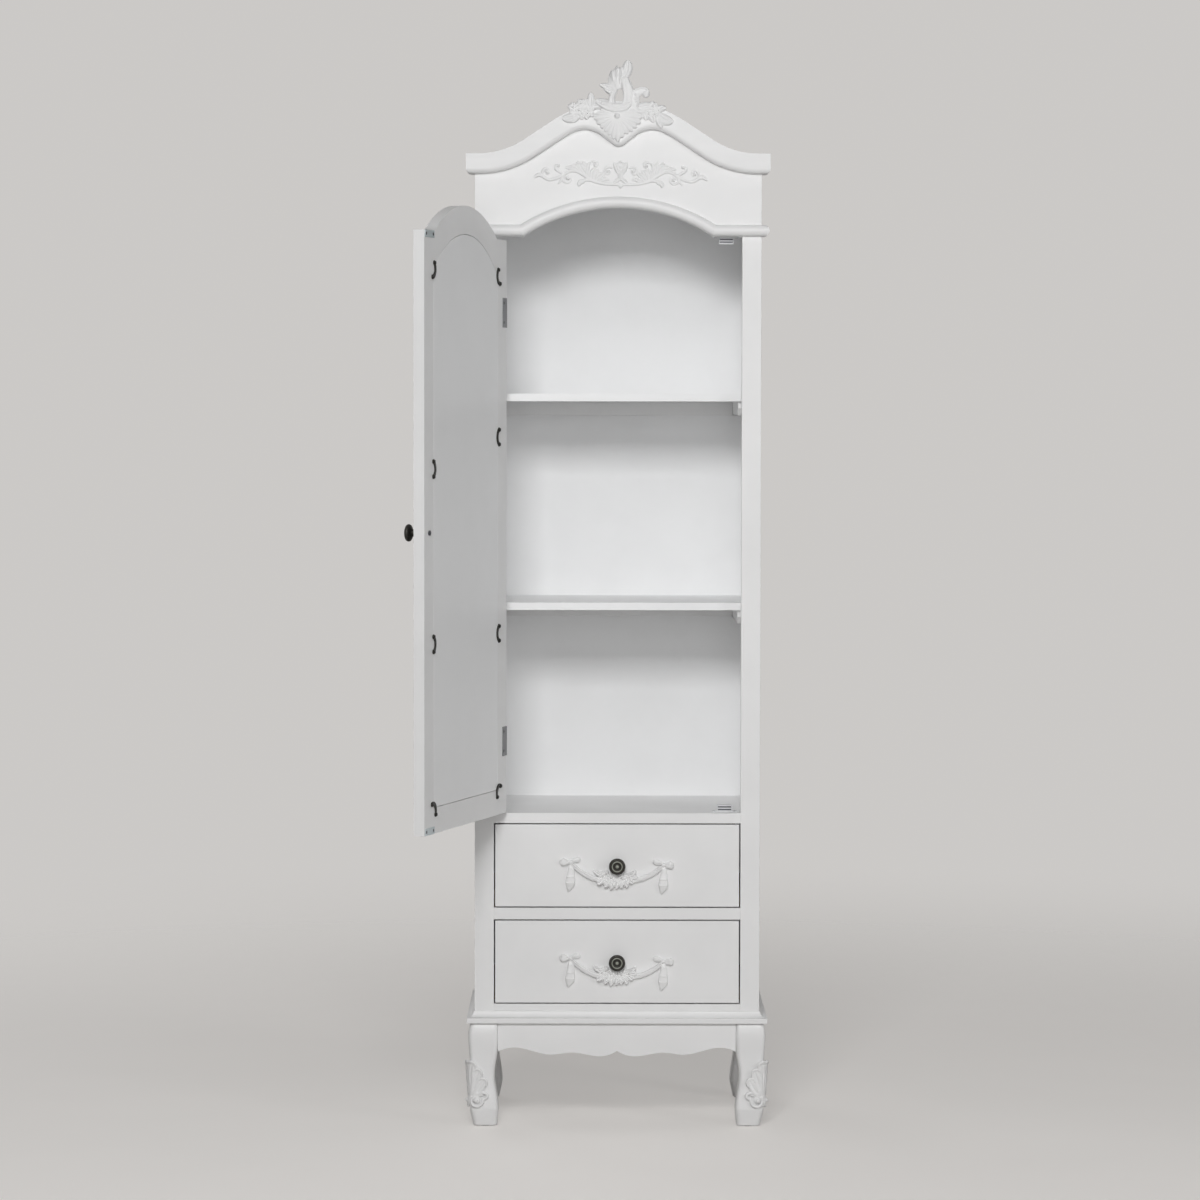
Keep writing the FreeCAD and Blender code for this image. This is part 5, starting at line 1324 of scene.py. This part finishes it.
@dataclass
class Studio:
    """A plain pale floor, soft lamps and a camera at the photograph's place."""

    plan: Plan
    distance: float = 7.497
    camera_height: float = 1.334
    camera_left: float = 0.03305
    look_down: float = math.radians(2.594)
    roll: float = math.radians(0.089)
    lens: float = 120.0
    sensor: float = 36.0
    sight: float = 60.0
    floor_colour: Colour = (0.66, 0.64, 0.62)
    sky_colour: Colour = (0.60, 0.585, 0.57)
    sky_light: float = 0.06
    floor_glow: float = 0.42
    clear_floor: float = 0.9
    floor_end: float = 4.6
    floor_reach: float = 14.0

    def floor(self) -> None:
        """Lays the floor."""
        corners = [Vector((x, y, 0)) * self.floor_reach for x, y in ((-1, -1), (1, -1), (1, 1), (-1, 1))]
        floor = new_object("floor", corners, [(0, 1, 2, 3)])
        sheet = NodeSheet("pale floor")
        clouds = sheet.noise(EVEN, 2.0, 2.0)
        dull = tuple(0.97 * part for part in self.floor_colour)
        colour = sheet.ramp(clouds, [(0.3, dull), (0.7, self.floor_colour)])
        sheet.join(colour, sheet.shader.inputs["Base Color"])
        sheet.shader.inputs["Roughness"].default_value = 0.75
        self.fade(sheet)
        floor.data.materials.append(sheet.material)

    def fade(self, sheet: NodeSheet) -> None:
        """Lets the floor pass into the backdrop away from the cabinet, so that no horizon shows.

        Args:
            sheet: The floor's material.
        """
        away = sheet.tree.nodes.new("ShaderNodeVectorMath")
        away.operation = "LENGTH"
        sheet.join(sheet.where, away.inputs[0])
        share = sheet.between(away.outputs["Value"], 0.0, 1.0, (self.clear_floor, self.floor_end))
        share.node.interpolation_type = "SMOOTHSTEP"
        glow = sheet.tree.nodes.new("ShaderNodeEmission")
        glow.inputs["Color"].default_value = (*self.floor_colour, 1.0)
        seen = self.seen(sheet.tree)
        sheet.join(sheet.between(seen, 0.0, self.floor_glow, (0.0, 1.0)), glow.inputs["Strength"])
        lit = sheet.tree.nodes.new("ShaderNodeAddShader")
        sheet.join(sheet.shader.outputs["BSDF"], lit.inputs[0])
        sheet.join(glow.outputs["Emission"], lit.inputs[1])
        clear = sheet.tree.nodes.new("ShaderNodeBsdfTransparent")
        mix = sheet.tree.nodes.new("ShaderNodeMixShader")
        out = sheet.tree.nodes["Material Output"]
        sheet.join(share, mix.inputs["Fac"])
        sheet.join(lit.outputs["Shader"], mix.inputs[1])
        sheet.join(clear.outputs["BSDF"], mix.inputs[2])
        sheet.join(mix.outputs["Shader"], out.inputs["Surface"])

    def seen(self, tree: bpy.types.NodeTree) -> bpy.types.NodeSocket:
        """Tells the rays that show the backdrop, straight or in metal and glass, from the rest.

        Args:
            tree: The node tree of a material or of the world.

        Returns:
            A socket that is 1 for the rays that show the backdrop.
        """
        rays = tree.nodes.new("ShaderNodeLightPath")
        shown = rays.outputs["Is Camera Ray"]
        for name in ("Is Glossy Ray", "Is Transmission Ray"):
            either = tree.nodes.new("ShaderNodeMath")
            either.operation = "MAXIMUM"
            tree.links.new(shown, either.inputs[0])
            tree.links.new(rays.outputs[name], either.inputs[1])
            shown = either.outputs["Value"]
        return shown

    def sky(self) -> None:
        """Fills the room with even light, and shows the camera a plain pale backdrop."""
        world = bpy.data.worlds.new("studio")
        bpy.context.scene.world = world
        world.use_nodes = True
        tree = world.node_tree
        tree.nodes.clear()
        backdrop = tree.nodes.new("ShaderNodeBackground")
        backdrop.inputs["Color"].default_value = (*self.sky_colour, 1.0)
        room = tree.nodes.new("ShaderNodeBackground")
        room.inputs["Color"].default_value = (1.0, 0.99, 0.98, 1.0)
        room.inputs["Strength"].default_value = self.sky_light
        mix = tree.nodes.new("ShaderNodeMixShader")
        tree.links.new(self.seen(tree), mix.inputs["Fac"])
        tree.links.new(room.outputs[0], mix.inputs[1])
        tree.links.new(backdrop.outputs[0], mix.inputs[2])
        out = tree.nodes.new("ShaderNodeOutputWorld")
        tree.links.new(mix.outputs[0], out.inputs["Surface"])

    def camera(self) -> None:
        """Sets up the camera at the photograph's angle."""
        data = bpy.data.cameras.new("camera")
        data.sensor_width = self.sensor
        data.lens = self.lens
        data.clip_end = self.sight
        camera = bpy.data.objects.new("camera", data)
        camera.location = (self.plan.middle - self.camera_left, self.plan.face - self.distance,
                           self.camera_height)
        pitch = Matrix.Rotation(math.pi / 2 - self.look_down, 3, "X")
        camera.rotation_euler = (pitch @ Matrix.Rotation(self.roll, 3, "Z")).to_euler()
        bpy.context.scene.collection.objects.link(camera)
        bpy.context.scene.camera = camera

    def build(self) -> None:
        """Sets up the whole studio."""
        self.floor()
        self.sky()
        self.camera()
        middle = self.plan.middle
        for lamp in (
                Lamp("key", (middle - 0.4, -4.6, 2.95), (middle, 0, 1.2), (1.4, 0.9), 99.0),
                Lamp("overhead", (middle, -3.6, 3.6), (middle, 0, 1.0), (2.0, 0.8), 10.0),
                Lamp("front", (middle, -5.2, 1.5), (middle, 0, 1.1), (2.4, 1.6), 27.0),
                Lamp("side", (middle + 4.0, -3.0, 1.6), (middle - 0.3, 0, 1.1), (1.2, 1.6), 36.0),
                Lamp("rear", (middle - 2.6, 4.4, 2.2), (middle, 0.2, 1.0), (2.2, 1.6), 30.0)):
            lamp.build()
        bpy.context.scene.view_settings.view_transform = "Standard"


def main() -> None:
    """Builds and dresses the cabinet in order."""
    logging.basicConfig(level=logging.INFO, format="%(name)s: %(message)s")
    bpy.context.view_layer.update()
    plan = Plan()
    palette = Palette()
    Boards(palette).build()
    pieces = [Crest(plan, palette).build(), FriezeScrolls(plan, palette).build(),
              Swag(plan, palette, "upper", math.radians(-1.6)).build(),
              Swag(plan, palette, "lower", math.radians(-2.0)).build(), KneeLeaves(plan, palette).build(),
              Knob(palette, "door_knob", "door", plan.swing).build()]
    pieces += [FrontLeg(palette, side).build() for side in ("left", "right")]
    for drawer in ("upper", "lower"):
        pieces.append(Knob(palette, f"{drawer}_drawer_knob", f"drawer_{drawer}", Matrix.Identity(4)).build())
    for piece in pieces:
        LOG.info("%s has %d faces", piece.name, len(piece.data.polygons))
    Studio(plan).build()


if __name__ == "__main__":
    main()
